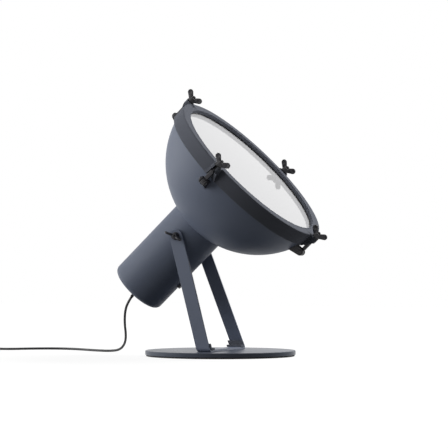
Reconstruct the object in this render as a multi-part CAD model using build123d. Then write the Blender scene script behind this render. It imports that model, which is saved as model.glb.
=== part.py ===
from build123d import *
import math
import os

# Tabletop searchlight lamp, millimetres, +Z up, +X the way the lamp shines.
# The origin is the centre of the underside of the base, on the table.
# The head is modelled along its own axis first: x runs forward along the beam
# from the tilt pivot, z is its top side. aimed() then sets it in the yoke.

# ---------------------------------------------------------------- driving sizes
# base
base_diameter = 300.0
base_thickness = 8.5
base_edge_round = 1.5
pad_diameter = 296.0
pad_thickness = 3.0

# yoke, one bent strap
strap_width = 27.0
strap_thickness = 4.0
foot_x = 3.0
foot_half_spacing = 98.4
pivot_x = -70.6
pivot_z = 239.15
tab_drop = 9.3
yoke_bend_outer = 6.5
yoke_bend_inner = 2.5
cleat_thickness = 4.0
cleat_height = 12.4
cleat_ear_thickness = 7.0
cleat_overhang = 1.5
cleat_leg = 18.0
cleat_bend_clearance = 3.0

# countersunk screws under the base
base_screw_diameter = 5.0
base_screw_head = 10.0
base_screw_clearance = 0.1
base_screw_spacing = 15.0

# head
tilt_deg = 44.06
tube_outer = 58.1
wall = 1.5
tube_rear = -152.6
tube_rear_round = 9.0
shoulder_x = 35.2
collar_length = 15.0
collar_clearance = 0.1
rim_radius = 179.4
rim_depth = 6.9
dish_swell = 4.0
rim_lip = 9.0
rim_lip_thickness = 2.0

# pivots
boss_radius = 12.0
boss_proud = 0.8
boss_inset = 3.0
friction_washer_thickness = 1.2
bolt_diameter = 6.0
bolt_running_clearance = 0.075
pivot_head_radius = 6.5
pivot_head_thickness = 3.5
washer_radius = 8.0
washer_thickness = 1.2
pivot_bolt_reach = 13.5

# front ring, glass and seals
seal_thickness = 1.5
seal_inset = 1.0
glass_inset = 3.0
glass_thickness = 4.0
gasket_thickness = 2.0
ring_lap = 12.9
ring_clearance = 1.5
ring_wall = 2.0
ring_depth = 29.1
ring_face_thickness = 2.5
ring_lip_length = 4.1
ring_edge_round = 2.0

# rim clamps, four at right angles
clamp_angles = {"top": 0, "right": 90, "bottom": 180, "left": 270}
clamp_stand = 6.9
clamp_reach = 41.7
hinge_pin_diameter = 5.0
hinge_pin_head_radius = 4.4
hinge_pin_head_thickness = 2.4
eye_radius = 6.2
eye_width = 8.0
eye_side_clearance = 0.2
ear_thickness = 2.8
ear_nose_radius = 7.0
ear_rear = 13.5
ear_front = 6.0
ear_root = 5.0
ear_saddle_thickness = 3.0
ear_saddle_rear = 5.0
swing_bolt_reach = 13.8
swing_arm_length = 28.8
swing_arm_height = 7.0
lug_half_width = 10.0
lug_length = 12.9
lug_beyond = 6.6
lug_corner = 6.0
lug_back_round = 3.0
lug_wall = 5.8
lug_leg_rise = 0.8
# the pocket behind a lug, open to the rear: end, shoulder and knee behind the ring's front
pocket_end = 8.9
pocket_shoulder = 12.0
pocket_shoulder_half = 4.9
pocket_knee = 18.9
pocket_knee_half = 6.0
pocket_mouth_half = 9.6
slot_width = 6.5

# wing nuts
nut_base_radius = 7.5
nut_top_radius = 6.0
nut_height = 9.0
wing_width = 11.6
wing_thickness = 5.0
wing_tip_out = 13.4
wing_tip_up = 18.5
wing_root_out = 2.5
wing_root_up = 4.0
rim_wing_turn = {"top": 90, "right": 0, "bottom": 90, "left": 0}
pivot_wing_turn = 110.0

# inside the head
reflector_wall = 1.2
reflector_vertex_gap = 5.0
reflector_gap = 3.5
reflector_flange = 6.0
reflector_flange_thickness = 1.0
reflector_hole = 24.0
carrier_thickness = 2.0
carrier_half_width = 15.0
carrier_rear = -100.0
carrier_plate_x = -6.0
carrier_plate_half_width = 20.0
carrier_plate_top = 24.0
wire_hole_radius = 4.0
wire_hole_z = -32.0
holder_radius = 21.0
holder_length = 46.0
holder_waist = 20.0
holder_step = 2.5
holder_bore = 13.5
holder_depth = 28.0
cap_clearance = 0.2
cap_contact_radius = 4.5
cap_contact_height = 2.0
cap_inset = 1.5
bulb_radius = 30.0
bulb_reach = 57.5
bulb_wall = 0.8
terminal_size = (22.0, 24.0, 12.0)
terminal_x = -55.0
cover_screw_x = -81.8
cover_screw_diameter = 5.0
cover_screw_head_radius = 4.6
cover_screw_head_height = 5.5
cover_screw_depth = 8.0
wire_diameter = 2.0
wire_half_spacing = 5.0
wire_half_gap_cord = 1.2
wire_half_gap_hole = 1.5
wire_straight_cord = 12.0
wire_straight_rear = 14.0
wire_straight_front = 10.0
wire_straight_hole = 8.0
wire_bend_rear = 6.0
wire_bend_front = 5.0

# cord
cord_diameter = 5.0
relief_length = 20.0
relief_droop_deg = 10.0
relief_root_radius = 4.5
relief_tip_radius = 3.1
relief_collar_radius = 6.0
relief_collar_thickness = 2.0
relief_neck_radius = 4.0
relief_nut_radius = 8.0
relief_nut_thickness = 3.0
floor_line = cord_diameter / 2
switch_line = 5.6
# route of the hanging and the lying stretch, after the tip of the strain relief
drop_first_run = 16.3
drop_points = [
    (-209.5, 6.0, 85.0),
    (-215.5, 19.0, 61.0),
    (-220.5, 38.0, 38.0),
    (-232.0, 60.0, 19.5),
    (-252.0, 80.0, 5.6),
]
floor_points = [
    (-279.0, 92.0, floor_line),
    (-312.0, 104.0, floor_line),
    (-352.0, 133.0, floor_line),
    (-396.0, 164.0, floor_line),
    (-445.0, 170.0, floor_line),
    (-487.0, 144.0, floor_line),
    (-520.0, 106.0, floor_line),
    (-536.0, 82.0, 4.0),
]
# the straight run that goes through the switch, and the way on to the coil
through_points = [
    (-550.0, 62.0, switch_line),
    (-584.0, 13.0, switch_line),
    (-597.0, -6.0, 4.0),
]
coil_slack = 0.3
tail_end = (-604.0, -24.0, floor_line + coil_slack)
switch_length = 52.0
switch_width = 24.0
switch_height = 15.0
switch_round = 5.0
switch_top_round = 2.0
switch_bore_clearance = 0.1
rocker_length = 17.0
rocker_width = 9.0
rocker_height = 5.0
rocker_gap = 0.4
rocker_tilt_deg = 8.0
rocker_depth_gap = 1.5
rocker_round = 1.2
rocker_pin_radius = 1.2
rocker_pin_length = 1.6
rocker_pin_clearance = 0.05
coil_turn_diameter = 50.0
coil_layers = 3
coil_round = 2.0
end_run = 30.0
tie_width = 8.0
tie_thickness = 0.8
plug_length = 38.0
plug_width = 34.0
plug_waist = 22.0
plug_shoulder = 17.0
plug_corner = 2.4
plug_edge_round = 1.5
plug_tail_length = 20.0
plug_tail_radius = 4.5
plug_tail_tip = 3.0
pin_diameter = 4.0
pin_spacing = 18.6
pin_length = 19.0

# ------------------------------------------------------------- worked-out sizes
base_top = pad_thickness + base_thickness
web_top = base_top + strap_thickness
lean = (pivot_x - foot_x) / (pivot_z - base_top)
strap_width_level = strap_width * math.hypot(1, lean)
boss_face = tube_outer + boss_proud
boss_inner_face = tube_outer - boss_inset
yoke_inner = boss_face + friction_washer_thickness
tab_half_spacing = yoke_inner + strap_thickness / 2
yoke_outer = yoke_inner + strap_thickness
bend_z = pivot_z - tab_drop
splay = (tab_half_spacing - foot_half_spacing) / (bend_z - base_top)
dish_radius = rim_radius + dish_swell
dish_centre = shoulder_x + math.sqrt(dish_radius**2 - tube_outer**2)
rim_back = dish_centre - math.sqrt(dish_radius**2 - rim_radius**2)
rim_front = rim_back + rim_depth
glass_radius = rim_radius - glass_inset
glass_back = rim_front + seal_thickness
glass_front = glass_back + glass_thickness
gasket_front = glass_front + gasket_thickness
opening_radius = glass_radius - ring_lap
ring_inner = rim_radius + ring_clearance
ring_outer = ring_inner + ring_wall
ring_front = gasket_front + ring_lip_length + ring_face_thickness
ring_rear = ring_front - ring_depth
clamp_radius = ring_outer + clamp_stand
hinge_x = ring_front - clamp_reach
clamp_nut_back = ring_front + washer_thickness
coil_section = coil_layers * cord_diameter + 2 * coil_slack
coil_outer_turn = (coil_turn_diameter + (coil_layers - 1) * cord_diameter) / 2
plug_height = coil_section
holder_front = carrier_plate_x + holder_length
holder_floor = holder_front - holder_depth
cap_radius = holder_bore - cap_clearance
cap_front = holder_front - cap_inset
bulb_centre = cap_front + bulb_reach
hinge_half = eye_width / 2 + eye_side_clearance + ear_thickness

# how far a cutting body goes past what it cuts
cut_past = 20.0

# local frames
side_way = {"right": -1, "left": 1}
NODES = {}


def aimed(solid):
    """Sets what is modelled along the beam into the yoke, at its tilt."""
    return Location((pivot_x, 0, pivot_z), (0, -tilt_deg, 0)) * solid


def at_clamp(angle, solid):
    """Turns a piece of the top clamp round the beam to another clamp."""
    return Rot(angle, 0, 0) * solid


def turned(points):
    """A closed profile of (x, radius) points and edges, turned round the beam."""
    return revolve(make_face(Polyline([(x, 0, r) for x, r in points], close=True)), Axis.X)


def rod_x(radius, x0, x1, y=0.0, z=0.0):
    """A round bar along x."""
    return Pos((x0 + x1) / 2, y, z) * Rot(0, 90, 0) * Cylinder(radius, x1 - x0)


def rod_y(radius, y0, y1, x=0.0, z=0.0):
    """A round bar along y."""
    return Pos(x, (y0 + y1) / 2, z) * Rot(90, 0, 0) * Cylinder(radius, y1 - y0)


def rod_z(radius, z0, z1, x=0.0, y=0.0):
    """A round bar along z."""
    return Pos(x, y, (z0 + z1) / 2) * Cylinder(radius, z1 - z0)


def block(x0, x1, y0, y1, z0, z1):
    """A plain block between two corners."""
    return Pos((x0 + x1) / 2, (y0 + y1) / 2, (z0 + z1) / 2) * Box(x1 - x0, y1 - y0, z1 - z0)


def ring_x(outer, inner, x0, x1):
    """A flat ring round the beam."""
    return rod_x(outer, x0, x1) - rod_x(inner, x0 - 1, x1 + 1)


# ------------------------------------------------------------------------- base
def base_pad():
    """Thin rubber disc that the plate stands on."""
    return rod_z(pad_diameter / 2, 0, pad_thickness)


def screw_places():
    """The four places of the screws that hold the yoke's feet."""
    leg_middle = foot_half_spacing - strap_thickness / 2 - cleat_thickness - cleat_leg / 2
    x_middle = foot_x + lean * (web_top - base_top)
    half = base_screw_spacing / 2
    return [(x_middle + sx * half, sy * leg_middle) for sx in (-1, 1) for sy in (-1, 1)]


def screw_hole(x, y, top):
    """The space of one countersunk screw with its clearance."""
    radius = base_screw_diameter / 2 + base_screw_clearance
    head = base_screw_head / 2 + base_screw_clearance
    cone = Pos(x, y, pad_thickness + (head - radius) / 2) * Cone(head, radius, head - radius)
    return cone + rod_z(radius, pad_thickness, top, x, y)


def base_plate():
    """Heavy steel disc, drilled and countersunk from below."""
    plate = rod_z(base_diameter / 2, pad_thickness, base_top)
    plate = fillet(plate.edges().sort_by(Axis.Z)[-1], base_edge_round)
    for x, y in screw_places():
        plate -= screw_hole(x, y, base_top + 1)
    return plate


def base_screws():
    """Four countersunk screws, through plate and web into the cleats."""
    radius, head = base_screw_diameter / 2, base_screw_head / 2
    tip = web_top + cleat_thickness
    made = []
    for x, y in screw_places():
        cone = Pos(x, y, pad_thickness + (head - radius) / 2) * Cone(head, radius, head - radius)
        made.append(cone + rod_z(radius, pad_thickness, tip, x, y))
    return made


# ------------------------------------------------------------------------- yoke
def side_outline(overhang=0.0):
    """Side view of the strap: leaning back from the foot to a round end at the pivot."""
    reach = (strap_width / 2 + overhang) / math.hypot(1, lean)
    half = strap_width_level / 2 + overhang
    band = Polyline(
        (foot_x - half, 0, base_top), (pivot_x - reach, 0, pivot_z + reach * lean),
        (pivot_x + reach, 0, pivot_z - reach * lean), (foot_x + half, 0, base_top), close=True,
    )
    made = extrude(make_face(band), foot_half_spacing + strap_thickness, both=True)
    span = foot_half_spacing + strap_thickness
    return made + rod_y(strap_width / 2, -span, span, pivot_x, pivot_z)


def arm_inside(z):
    """Half the clear width between the arms at a height."""
    return foot_half_spacing - strap_thickness / 2 + splay * (z - base_top)


def yoke():
    """One strap: a web on the base, two arms leaning back and in, and round tabs."""
    outer = foot_half_spacing + strap_thickness / 2
    top = pivot_z + strap_width
    foot, knee = arm_inside(web_top), arm_inside(bend_z)
    right = [
        (foot, web_top), (knee, bend_z), (knee, top),
        (knee + strap_thickness, top), (knee + strap_thickness, bend_z), (outer, base_top),
    ]
    left = [(-y, z) for y, z in reversed(right)]
    front = Plane.YZ * make_face(Polyline(*right, *left, close=True))

    def corners(y, z):
        return [v for v in front.vertices() if abs(abs(v.Y) - y) < 0.01 and abs(v.Z - z) < 0.01]

    front = fillet(corners(outer, base_top), yoke_bend_outer)
    front = fillet(corners(foot, web_top), yoke_bend_inner)
    front = fillet(corners(knee, bend_z), yoke_bend_inner + strap_thickness)
    front = fillet(corners(knee + strap_thickness, bend_z), yoke_bend_inner)
    made = extrude(front, 3 * strap_width + abs(pivot_x), both=True) & side_outline()
    hole = bolt_diameter / 2 + bolt_running_clearance
    made -= rod_y(hole, -2 * outer, 2 * outer, pivot_x, pivot_z)
    for x, y in screw_places():
        made -= rod_z(
            base_screw_diameter / 2 + base_screw_clearance, base_top - 1, web_top + 1, x, y
        )
    return made


def foot_cleats():
    """Two small angles inside the bends, which take the screws."""
    ear_top = web_top + cleat_height
    leg_top = web_top + cleat_thickness
    low, high = arm_inside(web_top), arm_inside(ear_top)
    bend = cleat_bend_clearance
    inside = arm_inside(leg_top) - cleat_ear_thickness
    outline = [
        (low - bend, web_top), (arm_inside(web_top + bend), web_top + bend), (high, ear_top),
        (high - cleat_ear_thickness, ear_top), (inside, leg_top),
        (low - cleat_thickness - cleat_leg, leg_top), (low - cleat_thickness - cleat_leg, web_top),
    ]
    made = []
    for way in (-1, 1):
        face = Plane.YZ * make_face(Polyline(*[(way * y, z) for y, z in outline], close=True))
        cleat = extrude(face, 3 * strap_width, both=True) & side_outline(cleat_overhang)
        for x, y in screw_places():
            cleat -= rod_z(base_screw_diameter / 2, base_top, leg_top + 1, x, y)
        made.append(cleat)
    return made


# ------------------------------------------------------------------------- head
def rear_housing():
    """Drawn cup with a round rear edge and a welded boss at each pivot."""
    inner = tube_outer - wall
    corner = tube_rear + tube_rear_round
    outer_low, inner_low = tube_outer - tube_rear_round, tube_outer - tube_rear_round
    hole = relief_neck_radius
    turn = tube_rear_round * math.sqrt(0.5)
    turn_in = (tube_rear_round - wall) * math.sqrt(0.5)
    edges = [
        Line((tube_rear, 0, hole), (tube_rear, 0, outer_low)),
        ThreePointArc(
            (tube_rear, 0, outer_low),
            (corner - turn, 0, outer_low + turn),
            (corner, 0, tube_outer),
        ),
        Line((corner, 0, tube_outer), (shoulder_x, 0, tube_outer)),
        Line((shoulder_x, 0, tube_outer), (shoulder_x, 0, inner)),
        Line((shoulder_x, 0, inner), (corner, 0, inner)),
        ThreePointArc(
            (corner, 0, inner),
            (corner - turn_in, 0, inner_low + turn_in),
            (tube_rear + wall, 0, inner_low),
        ),
        Line((tube_rear + wall, 0, inner_low), (tube_rear + wall, 0, hole)),
        Line((tube_rear + wall, 0, hole), (tube_rear, 0, hole)),
    ]
    cup = revolve(make_face(edges), Axis.X)
    for way in (-1, 1):
        cup += rod_y(boss_radius, *sorted((way * boss_inner_face, way * boss_face)))
    cup -= rod_y(bolt_diameter / 2, -boss_face - 1, boss_face + 1)
    cup -= rod_z(cover_screw_diameter / 2, -tube_outer - 1, -inner + 1, cover_screw_x)
    return cup


def dish():
    """Spun bowl: a collar inside the housing, a round back and a turned-in rim."""
    bore = tube_outer - wall - collar_clearance
    collar_in = bore - wall
    in_radius = dish_radius - wall
    rim_in = rim_radius - wall
    inner_end = dish_centre - math.sqrt(in_radius**2 - rim_in**2)
    inner_start = dish_centre - math.sqrt(in_radius**2 - collar_in**2)
    mid_r = (tube_outer + rim_radius) / 2
    outer_mid = dish_centre - math.sqrt(dish_radius**2 - mid_r**2)
    inner_mid = dish_centre - math.sqrt(in_radius**2 - mid_r**2)
    lip_r = rim_radius - rim_lip
    lip_back = rim_front - rim_lip_thickness
    edges = [
        Polyline(
            (shoulder_x - collar_length, 0, collar_in), (shoulder_x - collar_length, 0, bore),
            (shoulder_x, 0, bore), (shoulder_x, 0, tube_outer),
        ),
        ThreePointArc(
            (shoulder_x, 0, tube_outer), (outer_mid, 0, mid_r), (rim_back, 0, rim_radius)
        ),
        Polyline(
            (rim_back, 0, rim_radius), (rim_front, 0, rim_radius), (rim_front, 0, lip_r),
            (lip_back, 0, lip_r), (lip_back, 0, rim_in), (inner_end, 0, rim_in),
        ),
        ThreePointArc((inner_end, 0, rim_in), (inner_mid, 0, mid_r), (inner_start, 0, collar_in)),
        Line((inner_start, 0, collar_in), (shoulder_x - collar_length, 0, collar_in)),
    ]
    return revolve(make_face(edges), Axis.X)


def reflector():
    """Spun parabola, r * r = spread * (x - vertex), with a flat rim behind the lip."""
    rim_x = rim_front - rim_lip_thickness - reflector_flange_thickness
    vertex = shoulder_x + reflector_vertex_gap
    outer = rim_radius - wall - reflector_gap
    reflector_rim = outer - reflector_flange
    spread = reflector_rim**2 / (rim_x - vertex)

    def curve_x(r):
        return vertex + r * r / spread

    def bow(shift):
        """The parabola between hole and rim as a quadratic curve, moved along x."""
        middle_x = vertex + reflector_hole * reflector_rim / spread
        middle_r = (reflector_hole + reflector_rim) / 2
        return Bezier(
            (curve_x(reflector_hole) + shift, 0, reflector_hole),
            (middle_x + shift, 0, middle_r),
            (rim_x + shift, 0, reflector_rim),
        )

    front = rim_x + reflector_flange_thickness
    back = rim_x - reflector_wall + reflector_flange_thickness
    edges = [
        bow(reflector_flange_thickness),
        Polyline((front, 0, reflector_rim), (front, 0, outer), (rim_x, 0, outer),
                 (rim_x, 0, reflector_rim), (back, 0, reflector_rim)),
        bow(reflector_flange_thickness - reflector_wall),
        Line(
            (curve_x(reflector_hole) + reflector_flange_thickness - reflector_wall, 0, reflector_hole),
            (curve_x(reflector_hole) + reflector_flange_thickness, 0, reflector_hole),
        ),
    ]
    return revolve(make_face(edges), Axis.X)


# ------------------------------------------------------------ inside the housing
def lamp_carrier():
    """Bent strip on the floor of the housing with an upright plate for the holder."""
    inner = tube_outer - wall
    strip = ring_x(inner, inner - carrier_thickness, carrier_rear, carrier_plate_x)
    strip &= block(
        carrier_rear, carrier_plate_x, -carrier_half_width, carrier_half_width, -inner - 1, 0
    )
    plate = block(
        carrier_plate_x - carrier_thickness, carrier_plate_x,
        -carrier_plate_half_width, carrier_plate_half_width,
        -inner, carrier_plate_top,
    ) & rod_x(inner - carrier_thickness, carrier_plate_x - cut_past, carrier_plate_x + cut_past)
    made = strip + plate
    made -= rod_x(
        wire_hole_radius, carrier_plate_x - cut_past, carrier_plate_x + cut_past, z=wire_hole_z
    )
    made -= rod_z(cover_screw_diameter / 2, -inner - 1, -inner + cover_screw_depth, cover_screw_x)
    return made


def lampholder():
    """Ceramic holder: a stepped round body with the bore for the lamp's cap."""
    waist = carrier_plate_x + holder_waist
    body = rod_x(holder_radius, carrier_plate_x, waist)
    body += rod_x(holder_radius - holder_step, waist, holder_front)
    return body - rod_x(holder_bore, holder_floor, holder_front + 1)


def bulb_cap():
    """Screw cap of the lamp with its contact on the holder's floor."""
    shell_back = holder_floor + cap_contact_height
    return rod_x(cap_radius, shell_back, cap_front) + rod_x(cap_contact_radius, holder_floor, shell_back)


def bulb_glass():
    """Round lamp bulb, a thin shell on the cap."""

    def side(radius, neck):
        far = bulb_centre - radius * math.sqrt(0.5)
        high = radius * math.sqrt(0.5)
        return [
            Bezier((cap_front, 0, neck), (far - high + neck, 0, neck), (far, 0, high)),
            ThreePointArc((far, 0, high), (bulb_centre, 0, radius), (bulb_centre + radius, 0, 0)),
        ]

    neck = cap_radius
    outer, inner = side(bulb_radius, neck), side(bulb_radius - bulb_wall, neck - bulb_wall)
    edges = outer + inner + [
        Line((bulb_centre + bulb_radius, 0, 0), (bulb_centre + bulb_radius - bulb_wall, 0, 0)),
        Line((cap_front, 0, neck), (cap_front, 0, neck - bulb_wall)),
    ]
    return revolve(make_face(edges), Axis.X)


def terminal_block():
    """Connector for the two cores, on the strip of the carrier."""
    length, width, height = terminal_size
    low = -math.sqrt((tube_outer - wall - carrier_thickness) ** 2 - (width / 2) ** 2)
    return block(
        terminal_x - length / 2, terminal_x + length / 2, -width / 2, width / 2, low, low + height
    )


def terminal_height():
    """The level at which the cores enter the connector."""
    length, width, height = terminal_size
    return -math.sqrt((tube_outer - wall - carrier_thickness) ** 2 - (width / 2) ** 2) + height / 2


def wire(points, radius):
    """A round core along straight runs with tangent arcs."""
    line = FilletPolyline(*points, radius=radius)
    return sweep((line ^ 0) * Circle(wire_diameter / 2), path=line)


def inner_leads():
    """Two cores from the cord to the connector and two on to the lampholder."""
    level = terminal_height()
    start = tube_rear + wall + relief_nut_thickness
    rear = terminal_x - terminal_size[0] / 2
    front = terminal_x + terminal_size[0] / 2
    made = []
    for way in (-1, 1):
        y = way * wire_half_spacing
        made.append(
            wire(
                [
                    (start, way * wire_half_gap_cord, 0),
                    (start + wire_straight_cord, way * wire_half_gap_cord, 0),
                    (rear - wire_straight_rear, y, level), (rear, y, level),
                ],
                wire_bend_rear,
            )
        )
        made.append(
            wire(
                [
                    (front, y, level), (front + wire_straight_front, y, level),
                    (
                        carrier_plate_x - carrier_thickness - wire_straight_hole,
                        way * wire_half_gap_hole, wire_hole_z,
                    ),
                    (carrier_plate_x, way * wire_half_gap_hole, wire_hole_z),
                ],
                wire_bend_front,
            )
        )
    return made


def cover_screw():
    """Knurled screw under the housing that clamps the lamp carrier."""
    low = -tube_outer - cover_screw_head_height
    head = rod_z(cover_screw_head_radius, low, -tube_outer, cover_screw_x)
    return head + rod_z(cover_screw_diameter / 2, -tube_outer, -tube_outer + cover_screw_depth, cover_screw_x)


# ------------------------------------------------------------ glass and its ring
def rear_seal():
    """Flat seal between the rim of the dish and the glass."""
    return ring_x(rim_radius - seal_inset, rim_radius - rim_lip, rim_front, glass_back)


def front_glass():
    """Flat opal glass disc."""
    return rod_x(glass_radius, glass_back, glass_front)


def front_gasket():
    """Seal between the glass and the lip of the ring."""
    return ring_x(rim_radius - seal_inset, opening_radius, glass_front, gasket_front)


def lug_plan(rear, front):
    """Plan of a lug: a block at the front, its two legs spreading towards the rear."""
    knee = ring_front - pocket_knee
    back = ring_front - lug_length
    half = [
        (rear, pocket_mouth_half + lug_wall), (knee, pocket_knee_half + lug_wall),
        (back, lug_half_width), (front, lug_half_width),
    ]
    return Polyline(*half, *[(x, -y) for x, y in reversed(half)], close=True)


def pocket_plan():
    """Plan of the pocket between the legs, with a round end for the arm of the bolt."""
    knee, shoulder = ring_front - pocket_knee, ring_front - pocket_shoulder
    half = pocket_shoulder_half
    side = [(shoulder, half), (knee, pocket_knee_half), (ring_rear - 1, pocket_mouth_half)]
    return [
        Polyline(*side, *[(x, -y) for x, y in reversed(side)]),
        ThreePointArc((shoulder, -half), (ring_front - pocket_end, 0), (shoulder, half)),
    ]


def lug_side():
    """Side view of a lug: sloping legs, a level top, the front eased round the hinge."""
    top, low = clamp_radius + lug_beyond, ring_outer - ring_wall / 2
    back, corner = ring_front - lug_length, lug_back_round
    seat = math.sqrt(clamp_reach**2 - lug_beyond**2)
    quarter = corner * (1 - math.sqrt(0.5))
    middle = math.asin(lug_beyond / clamp_reach) / 2
    return [
        Polyline((ring_rear, 0, low), (ring_rear, 0, ring_outer + lug_leg_rise), (back, 0, top - corner)),
        ThreePointArc(
            (back, 0, top - corner), (back + quarter, 0, top - quarter), (back + corner, 0, top)
        ),
        Line((back + corner, 0, top), (hinge_x + seat, 0, top)),
        ThreePointArc(
            (hinge_x + seat, 0, top),
            (
                hinge_x + clamp_reach * math.cos(middle), 0,
                clamp_radius + clamp_reach * math.sin(middle),
            ),
            (ring_front, 0, clamp_radius),
        ),
        Polyline((ring_front, 0, clamp_radius), (ring_front, 0, low), (ring_rear, 0, low)),
    ]


def lug():
    """One lug of the ring: two spread legs and a slotted block with a pocket behind it."""
    top, low = clamp_radius + lug_beyond, ring_outer - ring_wall / 2
    back = ring_front - lug_length
    across = Pos(0, 0, (low + top) / 2) * Box(2 * lug_length, 2 * lug_half_width, top - low)
    across = fillet(
        [e for e in across.edges().filter_by(Axis.X) if e.center().Z > low + 1], lug_corner
    )
    across = Pos(ring_front, 0, 0) * across
    legs = block(ring_rear, back, -cut_past, cut_past, low, top)
    plan = extrude(Pos(0, 0, low) * make_face(lug_plan(ring_rear, ring_front)), top - low)
    made = plan & extrude(make_face(lug_side()), cut_past, both=True)
    front_part, rear_part = made & (across - legs), made & legs
    made = front_part + rear_part
    made -= extrude(Pos(0, 0, low - 1) * make_face(pocket_plan()), top - low + 2)
    half = slot_width / 2
    made -= block(back - 1, ring_front + 1, -half, half, clamp_radius, top + 1)
    return made - rod_x(half, back - 1, ring_front + 1, z=clamp_radius)


def front_ring():
    """Turned ring: a band over the rim, a flat face, a lip to the glass and four lugs."""
    face_back = ring_front - ring_face_thickness
    lip = opening_radius + ring_wall
    body = turned(
        [
            (ring_rear, ring_inner), (ring_rear, ring_outer), (ring_front, ring_outer),
            (ring_front, opening_radius), (gasket_front, opening_radius), (gasket_front, lip),
            (face_back, lip), (face_back, ring_inner),
        ]
    )
    corner = [
        e
        for e in body.edges().filter_by(GeomType.CIRCLE)
        if abs(e.center().X - ring_front) < 0.01 and abs(e.radius - ring_outer) < 0.01
    ]
    body = fillet(corner, ring_edge_round)
    for angle in clamp_angles.values():
        body += at_clamp(angle, lug())
    return body


# ------------------------------------------------------------------- rim clamps
def clamp_bracket():
    """Hinge bracket of the top clamp: two ears on a saddle that follows the dish."""
    rear_x, front_x = hinge_x - ear_rear, hinge_x + ear_front
    low = math.sqrt(dish_radius**2 - (dish_centre - rear_x) ** 2) - ear_root
    side = Polyline(
        [
            (rear_x, 0, low), (hinge_x - ear_nose_radius, 0, clamp_radius),
            (hinge_x + ear_nose_radius, 0, clamp_radius), (front_x, 0, low),
        ],
        close=True,
    )
    ears = extrude(make_face(side), hinge_half, both=True)
    ears += rod_y(ear_nose_radius, -hinge_half, hinge_half, hinge_x, clamp_radius)
    gap = eye_width / 2 + eye_side_clearance
    tall = clamp_radius + 2 * ear_nose_radius
    slot = block(rear_x - ear_rear, hinge_x + clamp_reach, -gap, gap, low, tall)
    saddle = Pos(dish_centre, 0, 0) * Sphere(dish_radius + ear_saddle_thickness)
    saddle &= block(hinge_x - ear_saddle_rear, hinge_x + clamp_reach, -gap, gap, low, tall)
    ears -= slot - saddle
    ears -= Pos(dish_centre, 0, 0) * Sphere(dish_radius)
    return ears - rod_y(hinge_pin_diameter / 2, -cut_past, cut_past, hinge_x, clamp_radius)


def hinge_pin():
    """Headed pin of the top clamp."""
    tip = hinge_half + hinge_pin_head_thickness
    pin = rod_y(hinge_pin_diameter / 2, -tip, tip, hinge_x, clamp_radius)
    for way in (-1, 1):
        ends = sorted((way * hinge_half, way * tip))
        pin += rod_y(hinge_pin_head_radius, *ends, hinge_x, clamp_radius)
    return pin


def swing_bolt():
    """Eye bolt of the top clamp: its eye on the hinge pin, a flat arm, a threaded rod."""
    tip, half = ring_front + swing_bolt_reach, eye_width / 2
    low, high = clamp_radius - swing_arm_height / 2, clamp_radius + swing_arm_height / 2
    arm_middle = hinge_x + swing_arm_length - half
    made = rod_y(eye_radius, -half, half, hinge_x, clamp_radius)
    made += block(hinge_x, arm_middle, -half, half, low, high)
    made += rod_z(half, low, high, arm_middle)
    made += rod_x(bolt_diameter / 2, arm_middle, tip, z=clamp_radius)
    bore = hinge_pin_diameter / 2 + bolt_running_clearance
    return made - rod_y(bore, -cut_past, cut_past, hinge_x, clamp_radius)


def washer():
    """Flat washer round the x axis, its back at the origin."""
    bore = bolt_diameter / 2 + bolt_running_clearance
    return ring_x(washer_radius, bore, 0, washer_thickness)


def wing_nut():
    """Wing nut round the x axis, its back at the origin and its wings along y."""
    made = Rot(0, 90, 0) * Pos(0, 0, nut_height / 2) * Cone(nut_base_radius, nut_top_radius, nut_height)
    for way in (-1, 1):
        line = Line((wing_root_up, way * wing_root_out), (wing_tip_up - wing_width / 2, way * wing_tip_out))
        paddle = SlotCenterToCenter(line.length, wing_width, rotation=0)
        middle = line @ 0.5
        slope = math.degrees(math.atan2(way * (wing_tip_out - wing_root_out),
                                        wing_tip_up - wing_width / 2 - wing_root_up))
        sketch = Pos(middle.X, middle.Y, 0) * Rot(0, 0, slope) * paddle
        made += extrude(sketch, wing_thickness / 2, both=True)
    span = 2 * wing_tip_out
    made &= block(0, 2 * wing_tip_up, -span, span, -span, span)
    bore = bolt_diameter / 2 + bolt_running_clearance
    return made - rod_x(bore, -1, 2 * wing_tip_up)


# ------------------------------------------------------------------------ pivots
def pivot_side(way, solid):
    """Puts a piece made round the x axis on a pivot, x pointing outwards."""
    return Rot(0, 0, way * 90) * solid


def pivot_bolt(way):
    """Bolt with its head inside the housing."""
    head = rod_x(pivot_head_radius, boss_inner_face - pivot_head_thickness, boss_inner_face)
    tip = yoke_outer + pivot_bolt_reach
    return pivot_side(way, head + rod_x(bolt_diameter / 2, boss_inner_face, tip))


def friction_washer(way):
    """Fibre washer between boss and yoke."""
    bore = bolt_diameter / 2 + bolt_running_clearance
    return pivot_side(way, ring_x(boss_radius, bore, boss_face, yoke_inner))


def pivot_washer(way):
    """Steel washer between yoke and wing nut."""
    return pivot_side(way, Pos(yoke_outer, 0, 0) * washer())


def pivot_nut(way):
    """Wing nut that locks the tilt."""
    nut = Pos(yoke_outer + washer_thickness, 0, 0) * Rot(90 + pivot_wing_turn, 0, 0) * wing_nut()
    return pivot_side(way, Rot(-90, 0, 0) * nut)


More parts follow.
